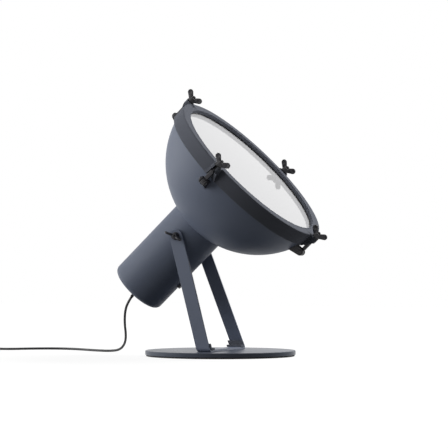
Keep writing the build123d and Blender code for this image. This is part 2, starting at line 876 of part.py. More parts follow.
# -------------------------------------------------------------------------- cord
def relief():
    """Moulded strain relief: neck and collar in the rear wall, drooping taper behind."""
    neck = rod_x(relief_neck_radius, tube_rear, tube_rear + wall)
    nut_thread = rod_x(relief_neck_radius, tube_rear + wall, tube_rear + wall + relief_nut_thickness)
    collar = rod_x(relief_collar_radius, tube_rear - relief_collar_thickness, tube_rear)
    taper = Pos(0, 0, relief_length / 2) * Cone(relief_root_radius, relief_tip_radius, relief_length)
    taper = Pos(tube_rear, 0, 0) * Rot(0, -90 - relief_droop_deg, 0) * taper
    taper &= block(
        tube_rear - 2 * relief_length, tube_rear, -cut_past, cut_past, -cut_past, cut_past
    )
    return neck + nut_thread + collar + taper


def relief_nut():
    """Nut that holds the strain relief from inside."""
    back = tube_rear + wall
    return ring_x(relief_nut_radius, relief_neck_radius, back, back + relief_nut_thickness)


def relief_line(reach):
    """The point on the strain relief's line at a distance from the housing's rear."""
    angle, tilt = math.radians(relief_droop_deg), math.radians(tilt_deg)
    x, z = tube_rear - reach * math.cos(angle), -reach * math.sin(angle)
    return (
        pivot_x + x * math.cos(tilt) - z * math.sin(tilt),
        0.0,
        pivot_z + x * math.sin(tilt) + z * math.cos(tilt),
    )


def fillet_radii(points):
    """The arc at each inner point: 0.45 of the shorter run over tan of half the turn."""
    radii = []
    for a, b, c in zip(points, points[1:], points[2:]):
        before, after = Vector(*b) - Vector(*a), Vector(*c) - Vector(*b)
        turn = math.radians(before.get_angle(after))
        radii.append(0.45 * min(before.length, after.length) / math.tan(turn / 2))
    return radii


def cord_tube(name, points):
    """A round cord along a route, as straight runs and tangent arcs."""
    radii = fillet_radii(points)
    line = FilletPolyline(*points, radius=radii)
    tube = sweep((line ^ 0) * Circle(cord_diameter / 2), path=line)
    ideal = line.length * math.pi * cord_diameter**2 / 4
    share = round(tube.volume / ideal, 4)
    print(name, "length", round(line.length, 1), "volume over section times length", share)
    print("   radii", [round(r) for r in radii])
    return tube


def halfway(a, b):
    """The middle of a run."""
    return tuple((p + q) / 2 for p, q in zip(a, b))


def switch_frame():
    """Middle, direction and level of the switch, from the run that goes through it."""
    a, b = through_points[0], through_points[1]
    angle = math.degrees(math.atan2(b[1] - a[1], b[0] - a[0]))
    middle = halfway(a, b)
    return Location((middle[0], middle[1], 0), (0, 0, angle))


def switch_body():
    """Rounded in-line switch housing with a bore for the cord and a well for the rocker."""
    made = Pos(0, 0, switch_height / 2) * Box(switch_length, switch_width, switch_height)
    made = fillet(made.edges().filter_by(Axis.Z), switch_round)
    made = fillet(made.edges().group_by(Axis.Z)[-1], switch_top_round)
    well = block(
        -rocker_length / 2 - rocker_gap, rocker_length / 2 + rocker_gap,
        -rocker_width / 2 - rocker_gap, rocker_width / 2 + rocker_gap,
        switch_height - rocker_height - rocker_depth_gap, switch_height + 1,
    )
    made -= well
    pin_z = switch_height - rocker_height / 2
    pin_end = rocker_width / 2 + rocker_pin_length + rocker_gap
    made -= rod_y(rocker_pin_radius + rocker_pin_clearance, -pin_end, pin_end, 0, pin_z)
    made -= rod_x(cord_diameter / 2 + switch_bore_clearance, -switch_length, switch_length, z=switch_line)
    return switch_frame() * made


def switch_rocker():
    """Rocker on two stub pins, resting on one side."""
    pin_z = switch_height - rocker_height / 2
    pin_end = rocker_width / 2 + rocker_pin_length
    body = Box(rocker_length, rocker_width, rocker_height)
    body = fillet(body.edges().filter_by(Axis.Y), rocker_round)
    body += rod_y(rocker_pin_radius, -pin_end, pin_end)
    return switch_frame() * Pos(0, 0, pin_z) * Rot(0, rocker_tilt_deg, 0) * body


def coil_centre():
    """Middle of the coil: the tail runs tangent into its outer turn, which then turns left."""
    a, b = Vector(*through_points[-1]), Vector(*tail_end)
    way = (Vector(b.X, b.Y) - Vector(a.X, a.Y)).normalized()
    return (b.X - way.Y * coil_outer_turn, b.Y + way.X * coil_outer_turn)


def end_points():
    """The last straight of the cord, tangent off the coil's outer turn to the plug."""
    x, y = coil_centre()
    low, level = y - coil_outer_turn, plug_height / 2
    return [(x, low, level), (x + end_run, low, level)]


def cord_end():
    """Straight stretch between coil and plug."""
    (x0, y, z), (x1, _, _) = end_points()
    return rod_x(cord_diameter / 2, x0, x1, y, z)


def cord_coil(tubes):
    """Outer shape of the coiled rest of the cord, with room for both ends of it."""
    middle = coil_turn_diameter / 2
    section = Pos(middle, 0, coil_section / 2) * (
        Plane.XZ * RectangleRounded(coil_section, coil_section, coil_round)
    )
    x, y = coil_centre()
    coil = Pos(x, y, 0) * revolve(section, Axis.Z)
    for tube in tubes:
        coil -= tube
    return coil


def coil_tie(coil):
    """Flat tie round the bundle of turns."""
    x, y = coil_centre()
    half, thick = coil_section / 2, tie_thickness
    outer = Box(coil_section + 2 * thick, tie_width, coil_section + thick)
    inner = Box(coil_section, tie_width + 2, coil_section)
    shell = Pos(0, 0, (coil_section + thick) / 2) * outer - Pos(0, 0, half) * inner
    return Pos(x, y, 0) * Pos(-coil_turn_diameter / 2, 0, 0) * shell - coil


def plug_frame():
    """The plug lies beside the coil, its tail on the end of the cord."""
    x, y, _ = end_points()[1]
    return Pos(x, y, 0)


def plug_body():
    """Slim two-pin plug with a tapered tail, on its flat side."""
    x0 = plug_tail_length
    half, waist = plug_width / 2, plug_waist / 2
    front, shoulder = x0 + plug_length, x0 + plug_shoulder
    outline = make_face(
        Polyline(
            (x0, -waist), (shoulder, -half), (front, -half), (front, half), (shoulder, half),
            (x0, waist), close=True,
        )
    )
    body = extrude(outline, plug_height)
    body = fillet(body.edges().filter_by(Axis.Z), plug_corner)
    body = fillet(body.edges().group_by(Axis.Z)[-1], plug_edge_round)
    tail = Cone(plug_tail_tip, plug_tail_radius, plug_tail_length)
    tail = Rot(0, 90, 0) * Pos(0, 0, plug_tail_length / 2) * tail
    return plug_frame() * (body + Pos(0, 0, plug_height / 2) * tail)


def plug_pins():
    """Two round pins."""
    x0 = plug_tail_length + plug_length
    made = []
    for way in (-1, 1):
        pin = rod_x(pin_diameter / 2, x0, x0 + pin_length, way * pin_spacing / 2, plug_height / 2)
        made.append(plug_frame() * pin)
    return made


# ----------------------------------------------------------------------- assembly
def add(name, made):
    """Keeps a node, a single solid or a group of like solids."""
    NODES[name] = made if isinstance(made, list) else [made]


def build_base():
    add("base_pad", base_pad())
    add("base_plate", base_plate())
    add("base_screws", base_screws())
    add("yoke", yoke())
    add("foot_cleats", foot_cleats())


def build_head():
    for name, make in (
        ("rear_housing", rear_housing), ("dish", dish), ("reflector", reflector),
        ("lamp_carrier", lamp_carrier), ("lampholder", lampholder), ("bulb_cap", bulb_cap),
        ("bulb_glass", bulb_glass), ("terminal_block", terminal_block), ("cover_screw", cover_screw),
        ("rear_seal", rear_seal), ("front_glass", front_glass), ("front_gasket", front_gasket),
        ("front_ring", front_ring), ("strain_relief", relief), ("relief_nut", relief_nut),
    ):
        add(name, aimed(make()))
    add("inner_leads", [aimed(w) for w in inner_leads()])
    ways = side_way.values()
    add("pivot_bolts", [aimed(pivot_bolt(w)) for w in ways])
    add("friction_washers", [aimed(friction_washer(w)) for w in ways])
    add("pivot_washers", [aimed(pivot_washer(w)) for w in ways])
    for side, way in side_way.items():
        add(f"pivot_wing_nut_{side}", aimed(pivot_nut(way)))


def build_clamps():
    angles = clamp_angles.values()
    add("clamp_brackets", [aimed(at_clamp(a, clamp_bracket())) for a in angles])
    add("hinge_pins", [aimed(at_clamp(a, hinge_pin())) for a in angles])
    for place, angle in clamp_angles.items():
        add(f"swing_bolt_{place}", aimed(at_clamp(angle, swing_bolt())))
        ring = Pos(ring_front, 0, clamp_radius) * washer()
        add(f"clamp_washer_{place}", aimed(at_clamp(angle, ring)))
        nut = Pos(clamp_nut_back, 0, clamp_radius) * Rot(rim_wing_turn[place], 0, 0) * wing_nut()
        add(f"rim_wing_nut_{place}", aimed(at_clamp(angle, nut)))


def build_cord():
    tip, first = relief_line(relief_length), relief_line(relief_length + drop_first_run)
    landing = halfway(drop_points[-1], floor_points[0])
    add("cord_drop", cord_tube("cord_drop", [tip, first, *drop_points, landing]))
    lead = cord_tube("cord_lead", [landing, *floor_points, *through_points, tail_end])
    add("cord_lead", lead)
    add("switch_body", switch_body())
    add("switch_rocker", switch_rocker())
    end = cord_end()
    add("cord_end", end)
    coil = cord_coil([lead, end])
    add("cord_coil", coil)
    add("coil_tie", coil_tie(coil))
    add("plug_body", plug_body())
    add("plug_pins", plug_pins())


def main():
    build_base()
    build_head()
    build_clamps()
    build_cord()
    os.makedirs("parts", exist_ok=True)
    for name, solids in NODES.items():
        shape = solids[0] if len(solids) == 1 else Compound(children=list(solids))
        export_step(shape, f"parts/{name}.step")
    print(len(NODES), "nodes")


main()
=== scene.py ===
# %% [markdown]
# # A tabletop searchlight lamp
#
# This script dresses a measured model of the lamp. The model gives every piece its place and
# its body; the script gives the pieces smooth surfaces, paint, glass, rubber and light.
# All lengths are metres. +Z is up, and +X is the way the lamp shines.

# %% Load the measured model
import math

import bpy
import numpy as np
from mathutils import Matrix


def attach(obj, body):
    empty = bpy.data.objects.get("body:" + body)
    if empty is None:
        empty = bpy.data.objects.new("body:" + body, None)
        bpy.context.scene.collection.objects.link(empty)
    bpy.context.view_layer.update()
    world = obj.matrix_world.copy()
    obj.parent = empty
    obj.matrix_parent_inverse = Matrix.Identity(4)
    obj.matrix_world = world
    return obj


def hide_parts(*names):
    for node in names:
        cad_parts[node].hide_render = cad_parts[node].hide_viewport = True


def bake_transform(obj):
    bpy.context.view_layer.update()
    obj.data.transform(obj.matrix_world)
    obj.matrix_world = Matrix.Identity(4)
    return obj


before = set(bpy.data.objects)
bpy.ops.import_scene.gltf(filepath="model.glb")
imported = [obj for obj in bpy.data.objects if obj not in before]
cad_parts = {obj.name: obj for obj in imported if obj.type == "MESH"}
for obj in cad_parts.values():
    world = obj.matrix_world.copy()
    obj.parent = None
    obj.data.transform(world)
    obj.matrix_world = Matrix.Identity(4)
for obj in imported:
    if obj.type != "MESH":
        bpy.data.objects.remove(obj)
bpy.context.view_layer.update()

# %% [markdown]
# ## The camera
#
# The lamp is seen from far away with a long lens, almost level with the table, and from
# a little in front of its side. A long lens keeps the round base and the round front ring
# close to true ellipses. The camera comes first, because the cord has to lie where it shows.

# %% Camera
CAMERA_PLACE = (1.77806, -4.66179, 0.21564)
CAMERA_YAW = 20.795
CAMERA_PITCH = 0.547
LENS_MM, SENSOR_MM = 200.93, 36.0
FARTHEST = 100.0


def new_object(name, data):
    """An object that shows the data, in the scene and at the origin."""
    obj = bpy.data.objects.new(name, data)
    bpy.context.scene.collection.objects.link(obj)
    return obj


def make_camera():
    """A camera at CAMERA_PLACE that looks along +Y, turned left by the yaw and up by the pitch."""
    data = bpy.data.cameras.new("camera")
    data.lens = LENS_MM
    data.sensor_width = SENSOR_MM
    data.clip_end = FARTHEST
    camera = new_object("camera", data)
    camera.location = CAMERA_PLACE
    camera.rotation_euler = (math.radians(90 + CAMERA_PITCH), 0, math.radians(CAMERA_YAW))
    bpy.context.scene.camera = camera


make_camera()
print("lens, mm:", LENS_MM)

# %% [markdown]
# ## Main sizes
#
# The head tilts about a pivot between the arms of the yoke. Its beam is at a fixed angle
# above the table, and everything on the head is worked out from the pivot and that angle.

# %% Pivot and beam
PIVOT = np.array([-0.0706, 0.0, 0.23915])
TILT = math.radians(44.06)
BEAM = np.array(
    [
        [math.cos(TILT), 0, math.sin(TILT)],
        [0, 1, 0],
        [-math.sin(TILT), 0, math.cos(TILT)],
    ]
)
TUBE_REAR = -0.1526
RELIEF_LENGTH = 0.020
RELIEF_DROOP = math.radians(10)


def behind_housing(reach):
    """The point at a distance along the line of the strain relief, which leaves the middle of
    the rear wall and droops a little."""
    cos, sin = math.cos(RELIEF_DROOP), math.sin(RELIEF_DROOP)
    return PIVOT + np.array([TUBE_REAR - reach * cos, 0.0, -reach * sin]) @ BEAM


print("beam points", BEAM[0].round(3))

# %% [markdown]
# ## The cord's route
#
# A rubber cord has a fixed length. It comes straight out of its strain relief, bends down under
# its own weight, lands, and wanders over the table. A smooth NURBS spline through a short list
# of chosen points gives exactly that kind of line; a Bezier curve would do as well, but its
# handles take longer to set. The rest of the length is wound into a round coil, whose points
# are worked out as whole arrays, and ends at the plug.

# %% Route points of the cord
CORD_DIAMETER = 0.005
FIRST_RUN = 0.0163
FLOOR_LINE = CORD_DIAMETER / 2
SWITCH_LINE = 0.0056
COIL_SLACK = 0.0003

relief_tip = tuple(behind_housing(RELIEF_LENGTH))
first_point = tuple(behind_housing(RELIEF_LENGTH + FIRST_RUN))
drop_route = [
    (-0.2095, 0.006, 0.085),
    (-0.2155, 0.019, 0.061),
    (-0.2205, 0.038, 0.038),
    (-0.2320, 0.060, 0.0195),
    (-0.2520, 0.080, 0.0056),
]
floor_route = [
    (-0.279, 0.092, FLOOR_LINE),
    (-0.312, 0.104, FLOOR_LINE),
    (-0.352, 0.133, FLOOR_LINE),
    (-0.396, 0.164, FLOOR_LINE),
    (-0.445, 0.170, FLOOR_LINE),
    (-0.487, 0.144, FLOOR_LINE),
    (-0.520, 0.106, FLOOR_LINE),
    (-0.536, 0.082, 0.004),
    (-0.550, 0.062, SWITCH_LINE),
    (-0.584, 0.013, SWITCH_LINE),
    (-0.597, -0.006, 0.004),
]
tail_end = (-0.604, -0.024, FLOOR_LINE + COIL_SLACK)
print("cord: hanging points", len(drop_route), "and points on the table", len(floor_route))

# %% The coil's turns
# Each turn has a column (0 is the outermost) and a row (0 lies on the table).
TURN_SLOTS = [(0, 0), (1, 0), (2, 0), (2, 1), (2, 2), (1, 2), (1, 1), (0, 1)]
POINTS_PER_TURN = 16
PASS_FROM, PASS_LASTS = 0.66, 0.34
COIL_LAYERS = 3
COIL_TURN = 0.050
COIL_END = math.radians(-90)
END_RUN = 0.030


def coil_route():
    """Circles side by side and on each other: the angle grows steadily, and the radius and
    the height pass from one slot to the next in the last third of each turn."""
    outer = (COIL_TURN + (COIL_LAYERS - 1) * CORD_DIAMETER) / 2
    back, end = np.array(floor_route[-1][:2]), np.array(tail_end[:2])
    way = (end - back) / np.linalg.norm(end - back)
    centre = end + outer * np.array([-way[1], way[0]])
    start = math.atan2(*(end - centre)[::-1])
    turns = len(TURN_SLOTS) - 1 + ((COIL_END - start) % (2 * math.pi)) / (2 * math.pi)
    t = np.linspace(0, turns, int(turns * POINTS_PER_TURN) + 1)
    slots = np.array(TURN_SLOTS, dtype=float)
    held = np.minimum(np.floor(t), len(slots) - 1).astype(int)
    passing = np.clip((t - held - PASS_FROM) / PASS_LASTS, 0, 1) * (held < len(slots) - 1)
    blend = passing**2 * (3 - 2 * passing)
    after = slots[np.minimum(held + 1, len(slots) - 1)]
    slot = slots[held] + blend[:, None] * (after - slots[held])
    radius = outer - slot[:, 0] * CORD_DIAMETER
    angle = start + 2 * math.pi * t
    height = tail_end[2] + slot[:, 1] * CORD_DIAMETER
    points = np.column_stack(
        [centre[0] + radius * np.cos(angle), centre[1] + radius * np.sin(angle), height]
    )
    return points, centre, outer


coil_points, coil_centre, coil_outer = coil_route()
plug_point = (coil_centre[0] + END_RUN, coil_centre[1] - coil_outer, coil_points[-1][2])
cord_points = [
    relief_tip, first_point, *drop_route, *floor_route, *map(tuple, coil_points), plug_point
]
print("cord route:", len(cord_points), "points, coil centre", coil_centre.round(3))

# %% A smooth line through the route
ROUTE_STEPS = 8


def smooth_line(points):
    """The NURBS spline of order 3 whose control points are the route's, as an array of points."""
    curve = bpy.data.curves.new("cord_route", "CURVE")
    curve.dimensions = "3D"
    spline = curve.splines.new("NURBS")
    spline.points.add(len(points) - 1)
    spline.points.foreach_set("co", [c for p in points for c in (*p, 1.0)])
    spline.order_u = 3
    spline.use_endpoint_u = True
    curve.resolution_u = ROUTE_STEPS
    holder = bpy.data.objects.new("cord_route", curve)
    mesh = bpy.data.meshes.new_from_object(holder)
    line = np.empty(len(mesh.vertices) * 3)
    mesh.vertices.foreach_get("co", line)
    bpy.data.objects.remove(holder)
    bpy.data.meshes.remove(mesh)
    bpy.data.curves.remove(curve)
    return line.reshape(-1, 3)


cord_line = smooth_line(cord_points)
cord_length = np.linalg.norm(np.diff(cord_line, axis=0), axis=1).sum()
print("cord line:", len(cord_line), "points,", round(float(cord_length), 3), "m long")

# %% [markdown]
# ## Shaping by formula
#
# Each new piece below is a surface with two parameters: how far along a profile, and how far
# round an axis or along a path. Numpy works all points out at once, and one helper turns the
# grid into a Blender mesh. Box modelling would do as well, but a formula keeps every piece
# exactly on the sizes of the measured model.

# %% Grids and meshes
import bmesh

MERGE_GAP, TINY_EDGE = 2e-6, 1e-7


def grid_faces(rows, columns, round_rows=False, round_columns=False):
    """Quads between neighbours on a grid of points; a round direction joins its end to its
    start."""
    i = np.arange(rows if round_rows else rows - 1)
    j = np.arange(columns if round_columns else columns - 1)
    a, b = np.meshgrid(i, j, indexing="ij")
    c, d = (a + 1) % rows, (b + 1) % columns
    quads = [a * columns + b, c * columns + b, c * columns + d, a * columns + d]
    return np.stack(quads, axis=-1).reshape(-1, 4)


def capped_faces(rows, columns):
    """The quads of a grid of round rows, with one many-sided face on its first and its last."""
    last = (rows - 1) * columns
    caps = [list(range(columns)), list(range(last, last + columns))]
    return grid_faces(rows, columns, False, True).tolist() + caps


def make_mesh(name, shells):
    """One mesh of several closed shells (points, faces), its doubles merged, its faces outwards."""
    points, faces, used = [], [], 0
    for shell_points, shell_faces in shells:
        points.append(np.asarray(shell_points, dtype=float).reshape(-1, 3))
        faces += [[used + int(k) for k in face] for face in shell_faces]
        used += len(points[-1])
    mesh = bpy.data.meshes.new(name)
    mesh.from_pydata(np.concatenate(points), [], faces)
    shape = bmesh.new()
    shape.from_mesh(mesh)
    bmesh.ops.remove_doubles(shape, verts=shape.verts, dist=MERGE_GAP)
    bmesh.ops.dissolve_degenerate(shape, dist=TINY_EDGE, edges=shape.edges)
    bmesh.ops.recalc_face_normals(shape, faces=shape.faces)
    shape.to_mesh(mesh)
    shape.free()
    mesh.shade_smooth()
    return mesh


print("faces of a 3 by 4 grid:", len(grid_faces(3, 4)))

# %% Profiles with eased corners
HOLD_FLAT = 0.3


def unit(way):
    """The same direction, one long."""
    return way / np.linalg.norm(way)


def rounded(corners, radii, closed=True, steps=5):
    """A line through the corners with a tangent arc at each. An arc of radius r starts at
    r / tan(half the angle between the edges) from its corner, and a point just outside each
    end of it keeps the flat parts flat when the surface is shaded smooth."""
    corners = np.asarray(corners, dtype=float)
    radii = np.broadcast_to(radii, len(corners))
    t = np.linspace(0, 1, steps + 1)[:, None]
    line = []
    for k, (corner, radius) in enumerate(zip(corners, radii)):
        if radius == 0 or (not closed and k in (0, len(corners) - 1)):
            line.append(corner[None])
            continue
        a, b = unit(corners[k - 1] - corner), unit(corners[(k + 1) % len(corners)] - corner)
        half = math.acos(np.clip(a @ b, -1, 1)) / 2
        centre = corner + unit(a + b) * radius / math.sin(half)
        reach, sweep = radius / math.tan(half), math.pi - 2 * half
        start, end = corner + a * reach - centre, corner + b * reach - centre
        arc = (np.sin((1 - t) * sweep) * start + np.sin(t * sweep) * end) / math.sin(sweep)
        before, after = start + a * HOLD_FLAT * radius, end + b * HOLD_FLAT * radius
        line += [centre + before[None], centre + arc, centre + after[None]]
    return np.concatenate(line)


def full_turn(steps):
    """Even angles from 0 up to, but not including, a full circle."""
    return np.linspace(0, 2 * math.pi, steps, endpoint=False)


def spin(profile, steps, closed=True):
    """Each point (along, radius) of a profile goes round the x axis:
    (along, radius * cos(turn), radius * sin(turn)), for turn from 0 to a full circle."""
    turn = full_turn(steps)
    along, radius = profile[:, :1], profile[:, 1:]
    points = np.stack([along + 0 * turn, radius * np.cos(turn), radius * np.sin(turn)], axis=-1)
    return points, grid_faces(len(profile), steps, closed, True)


def turned(corners, radii, steps):
    """A solid turned round x: a line through the corners, which starts and ends on the axis."""
    return spin(rounded(corners, radii, closed=False), steps, False)


def slab(outline, low, high):
    """A flat outline (a, b) made thick: the points (a, low, b) and (a, high, b), two caps
    and a wall of quads between them."""
    count = len(outline)
    a, b = outline[:, 0], outline[:, 1]
    points = np.concatenate([np.column_stack([a, np.full(count, y), b]) for y in (low, high)])
    return points, capped_faces(2, count)


test_profile = rounded([(0, 0), (1, 0), (1, 1), (0, 1)], 0.1)
print("points of a square with eased corners:", len(test_profile))

# %% [markdown]
# ### Places
#
# The head is easiest to work out along its own beam, so its pieces are made with x forward,
# y to the side and z towards its top, and then turned into the yoke. Parented objects could do
# this too, but here every finished mesh has to hold its own place, with its object at the
# origin. The clamps are one shape at four places round the beam.

# %% The beam's own frame
CLAMPS = {"top": 0, "right": 90, "bottom": 180, "left": 270}
SIDES = {"right": -1, "left": 1}


def apart(shell):
    """The x, y and z of a shell's points, as three arrays, and its faces."""
    points, faces = shell
    return *np.asarray(points).reshape(-1, 3).T, faces


def aimed(shell):
    """From the beam's frame into the room: pivot + x * forward + y * sideways + z * upward."""
    points, faces = shell
    return PIVOT + np.asarray(points).reshape(-1, 3) @ BEAM, faces


def turned_x(shell, degrees):
    """Turned round the x axis by the usual rotation of y and z."""
    x, y, z, faces = apart(shell)
    cos, sin = math.cos(math.radians(degrees)), math.sin(math.radians(degrees))
    return np.column_stack([x, y * cos - z * sin, y * sin + z * cos]), faces


def moved(shell, x=0.0, y=0.0, z=0.0):
    """Pushed along the axes."""
    points, faces = shell
    return np.asarray(points).reshape(-1, 3) + (x, y, z), faces


def to_side(shell, way):
    """The x axis laid out to the left (way 1) or to the right (way -1): (x, y, z) becomes
    (-way * y, way * x, z)."""
    x, y, z, faces = apart(shell)
    return np.column_stack([-way * y, way * x, z]), faces


def at_clamp(shell, place):
    """A shell of the top clamp, turned round the beam to its place and set into the room."""
    return aimed(turned_x(shell, CLAMPS[place]))


def at_clamps(*shells):
    """Shells of the top clamp, copied to all four places."""
    return [at_clamp(shell, place) for place in CLAMPS for shell in shells]


def at_sides(*shells):
    """Shells along x, laid out to both sides of the head and set into the room."""
    return [aimed(to_side(shell, way)) for way in SIDES.values() for shell in shells]


print("clamps at:", CLAMPS)

# %% Adding a piece
EASE_STEPS = 3
SHARP_FROM = 38


def ease_edges(piece, width, sharp_from):
    """A Bevel modifier rounds the edges that turn by more than an angle in degrees."""
    ease = piece.modifiers.new("eased_edges", "BEVEL")
    ease.width = width
    ease.segments = EASE_STEPS
    ease.limit_method = "ANGLE"
    ease.angle_limit = math.radians(sharp_from)
    ease.harden_normals = True


def add_piece(name, shells, material, body, nodes, bevel=0.0):
    """A mesh of the shells that rides on a body and stands for nodes of the model. A bevel
    rounds its sharp edges."""
    piece = new_object(name, make_mesh(name, shells))
    piece.data.materials.append(material)
    if bevel:
        ease_edges(piece, bevel, SHARP_FROM)
    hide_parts(*nodes)
    if body:
        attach(piece, body)
    print(f"{name}: {len(piece.data.polygons)} faces")
    return piece


print("edges sharper than", SHARP_FROM, "degrees get", EASE_STEPS, "segments")

# %% [markdown]
# ## Finishes
#
# All finishes are mixed by nodes. One recipe serves them all: a colour that drifts a little
# between two tones, a roughness that drifts too, and a fine bump. What differs is the scale
# and the strength. The pattern reads Object coordinates, which are metres here, so a noise
# scale of 700 gives grains of about a millimetre and a half. Image textures could do this too,
# but noise needs no files and no unwrapping, and never shows a seam.

# %% The recipe
DRIFT_DETAIL, GRAIN_DETAIL = 3.0, 2.0
NOISE_SPAN = (0.3, 0.7)


def set_sockets(node, **values):
    """Numbers and colours on a node's own sockets; an underscore stands for a blank."""
    for socket, value in values.items():
        node.inputs[socket.replace("_", " ")].default_value = value


def finish(name, tone, second, patch, rough, grain, bump, depth=0.0002, metallic=0.0,
           specular=0.5, coat=0.0, coat_rough=0.1, stretch=None):
    """A Principled finish. tone and second are the two colours, patch the scale of their
    drift, rough the range of roughness, grain and bump the fine relief, and stretch how much
    the pattern is pulled along x, y and z, as on brushed metal."""
    material = bpy.data.materials.new(name)
    material.use_nodes = True
    nodes, links = material.node_tree.nodes, material.node_tree.links
    shader = nodes["Principled BSDF"]
    place = nodes.new("ShaderNodeTexCoord").outputs["Object"]
    if stretch:
        mapping = nodes.new("ShaderNodeMapping")
        set_sockets(mapping, Scale=stretch)
        links.new(place, mapping.inputs["Vector"])
        place = mapping.outputs["Vector"]
    drift, fine = (nodes.new("ShaderNodeTexNoise") for _ in range(2))
    set_sockets(drift, Scale=patch, Detail=DRIFT_DETAIL)
    set_sockets(fine, Scale=grain, Detail=GRAIN_DETAIL)
    mix = nodes.new("ShaderNodeMix")
    mix.data_type = "RGBA"
    set_sockets(mix, A=(*tone, 1), B=(*second, 1))
    span = nodes.new("ShaderNodeMapRange")
    set_sockets(span, From_Min=NOISE_SPAN[0], From_Max=NOISE_SPAN[1], To_Min=rough[0],
                To_Max=rough[1])
    relief = nodes.new("ShaderNodeBump")
    set_sockets(relief, Strength=bump, Distance=depth)
    for texture in (drift, fine):
        links.new(place, texture.inputs["Vector"])
    links.new(drift.outputs["Fac"], mix.inputs["Factor"])
    links.new(mix.outputs["Result"], shader.inputs["Base Color"])
    links.new(drift.outputs["Fac"], span.inputs["Value"])
    links.new(span.outputs["Result"], shader.inputs["Roughness"])
    links.new(fine.outputs["Fac"], relief.inputs["Height"])
    links.new(relief.outputs["Normal"], shader.inputs["Normal"])
    set_sockets(shader, Metallic=metallic, Specular_IOR_Level=specular, Coat_Weight=coat,
                Coat_Roughness=coat_rough)
    return material


print("noise that drives the drift, from and to:", NOISE_SPAN)

# %% [markdown]
# ### Paint
#
# All painted steel wears a powder coat: a dark grey with some blue in it. Powder coat is not
# flat: it has a very fine orange-peel relief, and its tone hardly drifts. Its mirror part is
# weak, so that the shaded side stays dark. The one coat comes in four tones and gloss levels
# here. The head is satin. The front ring is quite matt, and its greyer, slightly darker tone is
# painted shade, which the foot angles of the yoke take too. The strap is smoother, and its
# lighter tone is painted light. The round plate is the smoothest and has the darkest tone.

# %% Paint
COAT_PATCH, COAT_GRAIN = 18.0, 1100.0
paint = finish("powder_coat", (0.139, 0.163, 0.222), (0.151, 0.175, 0.235), patch=COAT_PATCH,
               rough=(0.46, 0.56), grain=COAT_GRAIN, bump=0.12, depth=0.00012, specular=0.22)
# a greyer, slightly darker copy of the head's coat: painted shade on the ring and the foot angles
shaded_ring_paint = finish("ring_coat_painted_shade", (0.145, 0.155, 0.185), (0.157, 0.167, 0.197),
                    patch=COAT_PATCH, rough=(0.56, 0.66), grain=COAT_GRAIN, bump=0.12,
                    depth=0.00012, specular=0.03)
plate_paint = finish("plate_coat", (0.11, 0.126, 0.162), (0.121, 0.137, 0.174),
                     patch=COAT_PATCH, rough=(0.27, 0.33), grain=COAT_GRAIN, bump=0.03,
                     depth=0.0001, specular=0.09)
# a lighter copy of the head's coat: painted light on the strap
lit_strap_paint = finish("strap_coat_painted_light", (0.182, 0.209, 0.282), (0.194, 0.222, 0.295),
                     patch=COAT_PATCH, rough=(0.28, 0.36), grain=COAT_GRAIN, bump=0.08,
                     depth=0.0001, specular=0.18)
print("coats:", [coat.name for coat in (paint, shaded_ring_paint, plate_paint, lit_strap_paint)])

# %% [markdown]
# ### Black hardware, steel and small finishes
#
# Bolts, wing nuts and brackets are blackened steel with a soft gloss. The opal disc is
# glossy glass, white right through: a white gloss finish looks the same as real depth in the
# glass and stays free of noise. Rubber is dull, plastics have a moulded satin grain, and drawn
# metal shows fine lines along its stretch.

# %% Other finishes
black = finish("blackened_steel", (0.011, 0.0105, 0.0145), (0.019, 0.018, 0.0235), patch=160.0,
               rough=(0.34, 0.5), grain=1600.0, bump=0.16, depth=0.0001, specular=0.4)
plated = finish("plated_steel", (0.42, 0.42, 0.43), (0.52, 0.52, 0.52), patch=220.0,
                rough=(0.28, 0.42), grain=1800.0, bump=0.08, depth=0.00008, metallic=1.0)
opal = finish("opal_glass", (0.93, 0.93, 0.945), (0.95, 0.95, 0.96), patch=5.0,
              rough=(0.04, 0.08), grain=30.0, bump=0.02, depth=0.0002, specular=0.45, coat=0.2,
              coat_rough=0.03)
clear = finish("frosted_bulb", (0.8, 0.8, 0.79), (0.86, 0.86, 0.85), patch=60.0,
               rough=(0.2, 0.3), grain=900.0, bump=0.05, depth=0.0001)
bright = finish("spun_aluminium", (0.78, 0.79, 0.8), (0.86, 0.86, 0.87), patch=12.0,
                rough=(0.12, 0.22), grain=500.0, bump=0.05, depth=0.0001, metallic=1.0)
rubber = finish("black_rubber", (0.014, 0.014, 0.015), (0.024, 0.024, 0.025), patch=120.0,
                rough=(0.62, 0.78), grain=1300.0, bump=0.25, depth=0.00015, specular=0.3)
cord_skin = finish("cord_sheath", (0.012, 0.012, 0.014), (0.022, 0.022, 0.025), patch=90.0,
                   rough=(0.42, 0.56), grain=1500.0, bump=0.12, depth=0.0001, specular=0.35)
moulded = finish("moulded_black_plastic", (0.013, 0.013, 0.014), (0.02, 0.02, 0.021),
                 patch=140.0, rough=(0.36, 0.5), grain=1700.0, bump=0.2, depth=0.0001,
                 specular=0.45)
cream = finish("terminal_plastic", (0.62, 0.6, 0.54), (0.68, 0.66, 0.6), patch=150.0,
               rough=(0.35, 0.5), grain=1500.0, bump=0.1)
sleeve = finish("silicone_sleeve", (0.55, 0.1, 0.06), (0.62, 0.14, 0.09), patch=200.0,
                rough=(0.4, 0.55), grain=1500.0, bump=0.08)
ceramic = finish("glazed_ceramic", (0.74, 0.73, 0.7), (0.8, 0.79, 0.76), patch=60.0,
                 rough=(0.12, 0.22), grain=400.0, bump=0.05, coat=0.3)
fibre = finish("pressed_fibre", (0.09, 0.055, 0.035), (0.13, 0.085, 0.05), patch=260.0,
               rough=(0.7, 0.85), grain=1500.0, bump=0.3, depth=0.0002, specular=0.25)
brass = finish("plated_brass", (0.62, 0.5, 0.3), (0.7, 0.58, 0.36), patch=260.0,
               rough=(0.2, 0.34), grain=1600.0, bump=0.06, depth=0.00008, metallic=1.0,
               stretch=(0.3, 1.0, 1.0))
print("finishes:", len(bpy.data.materials))

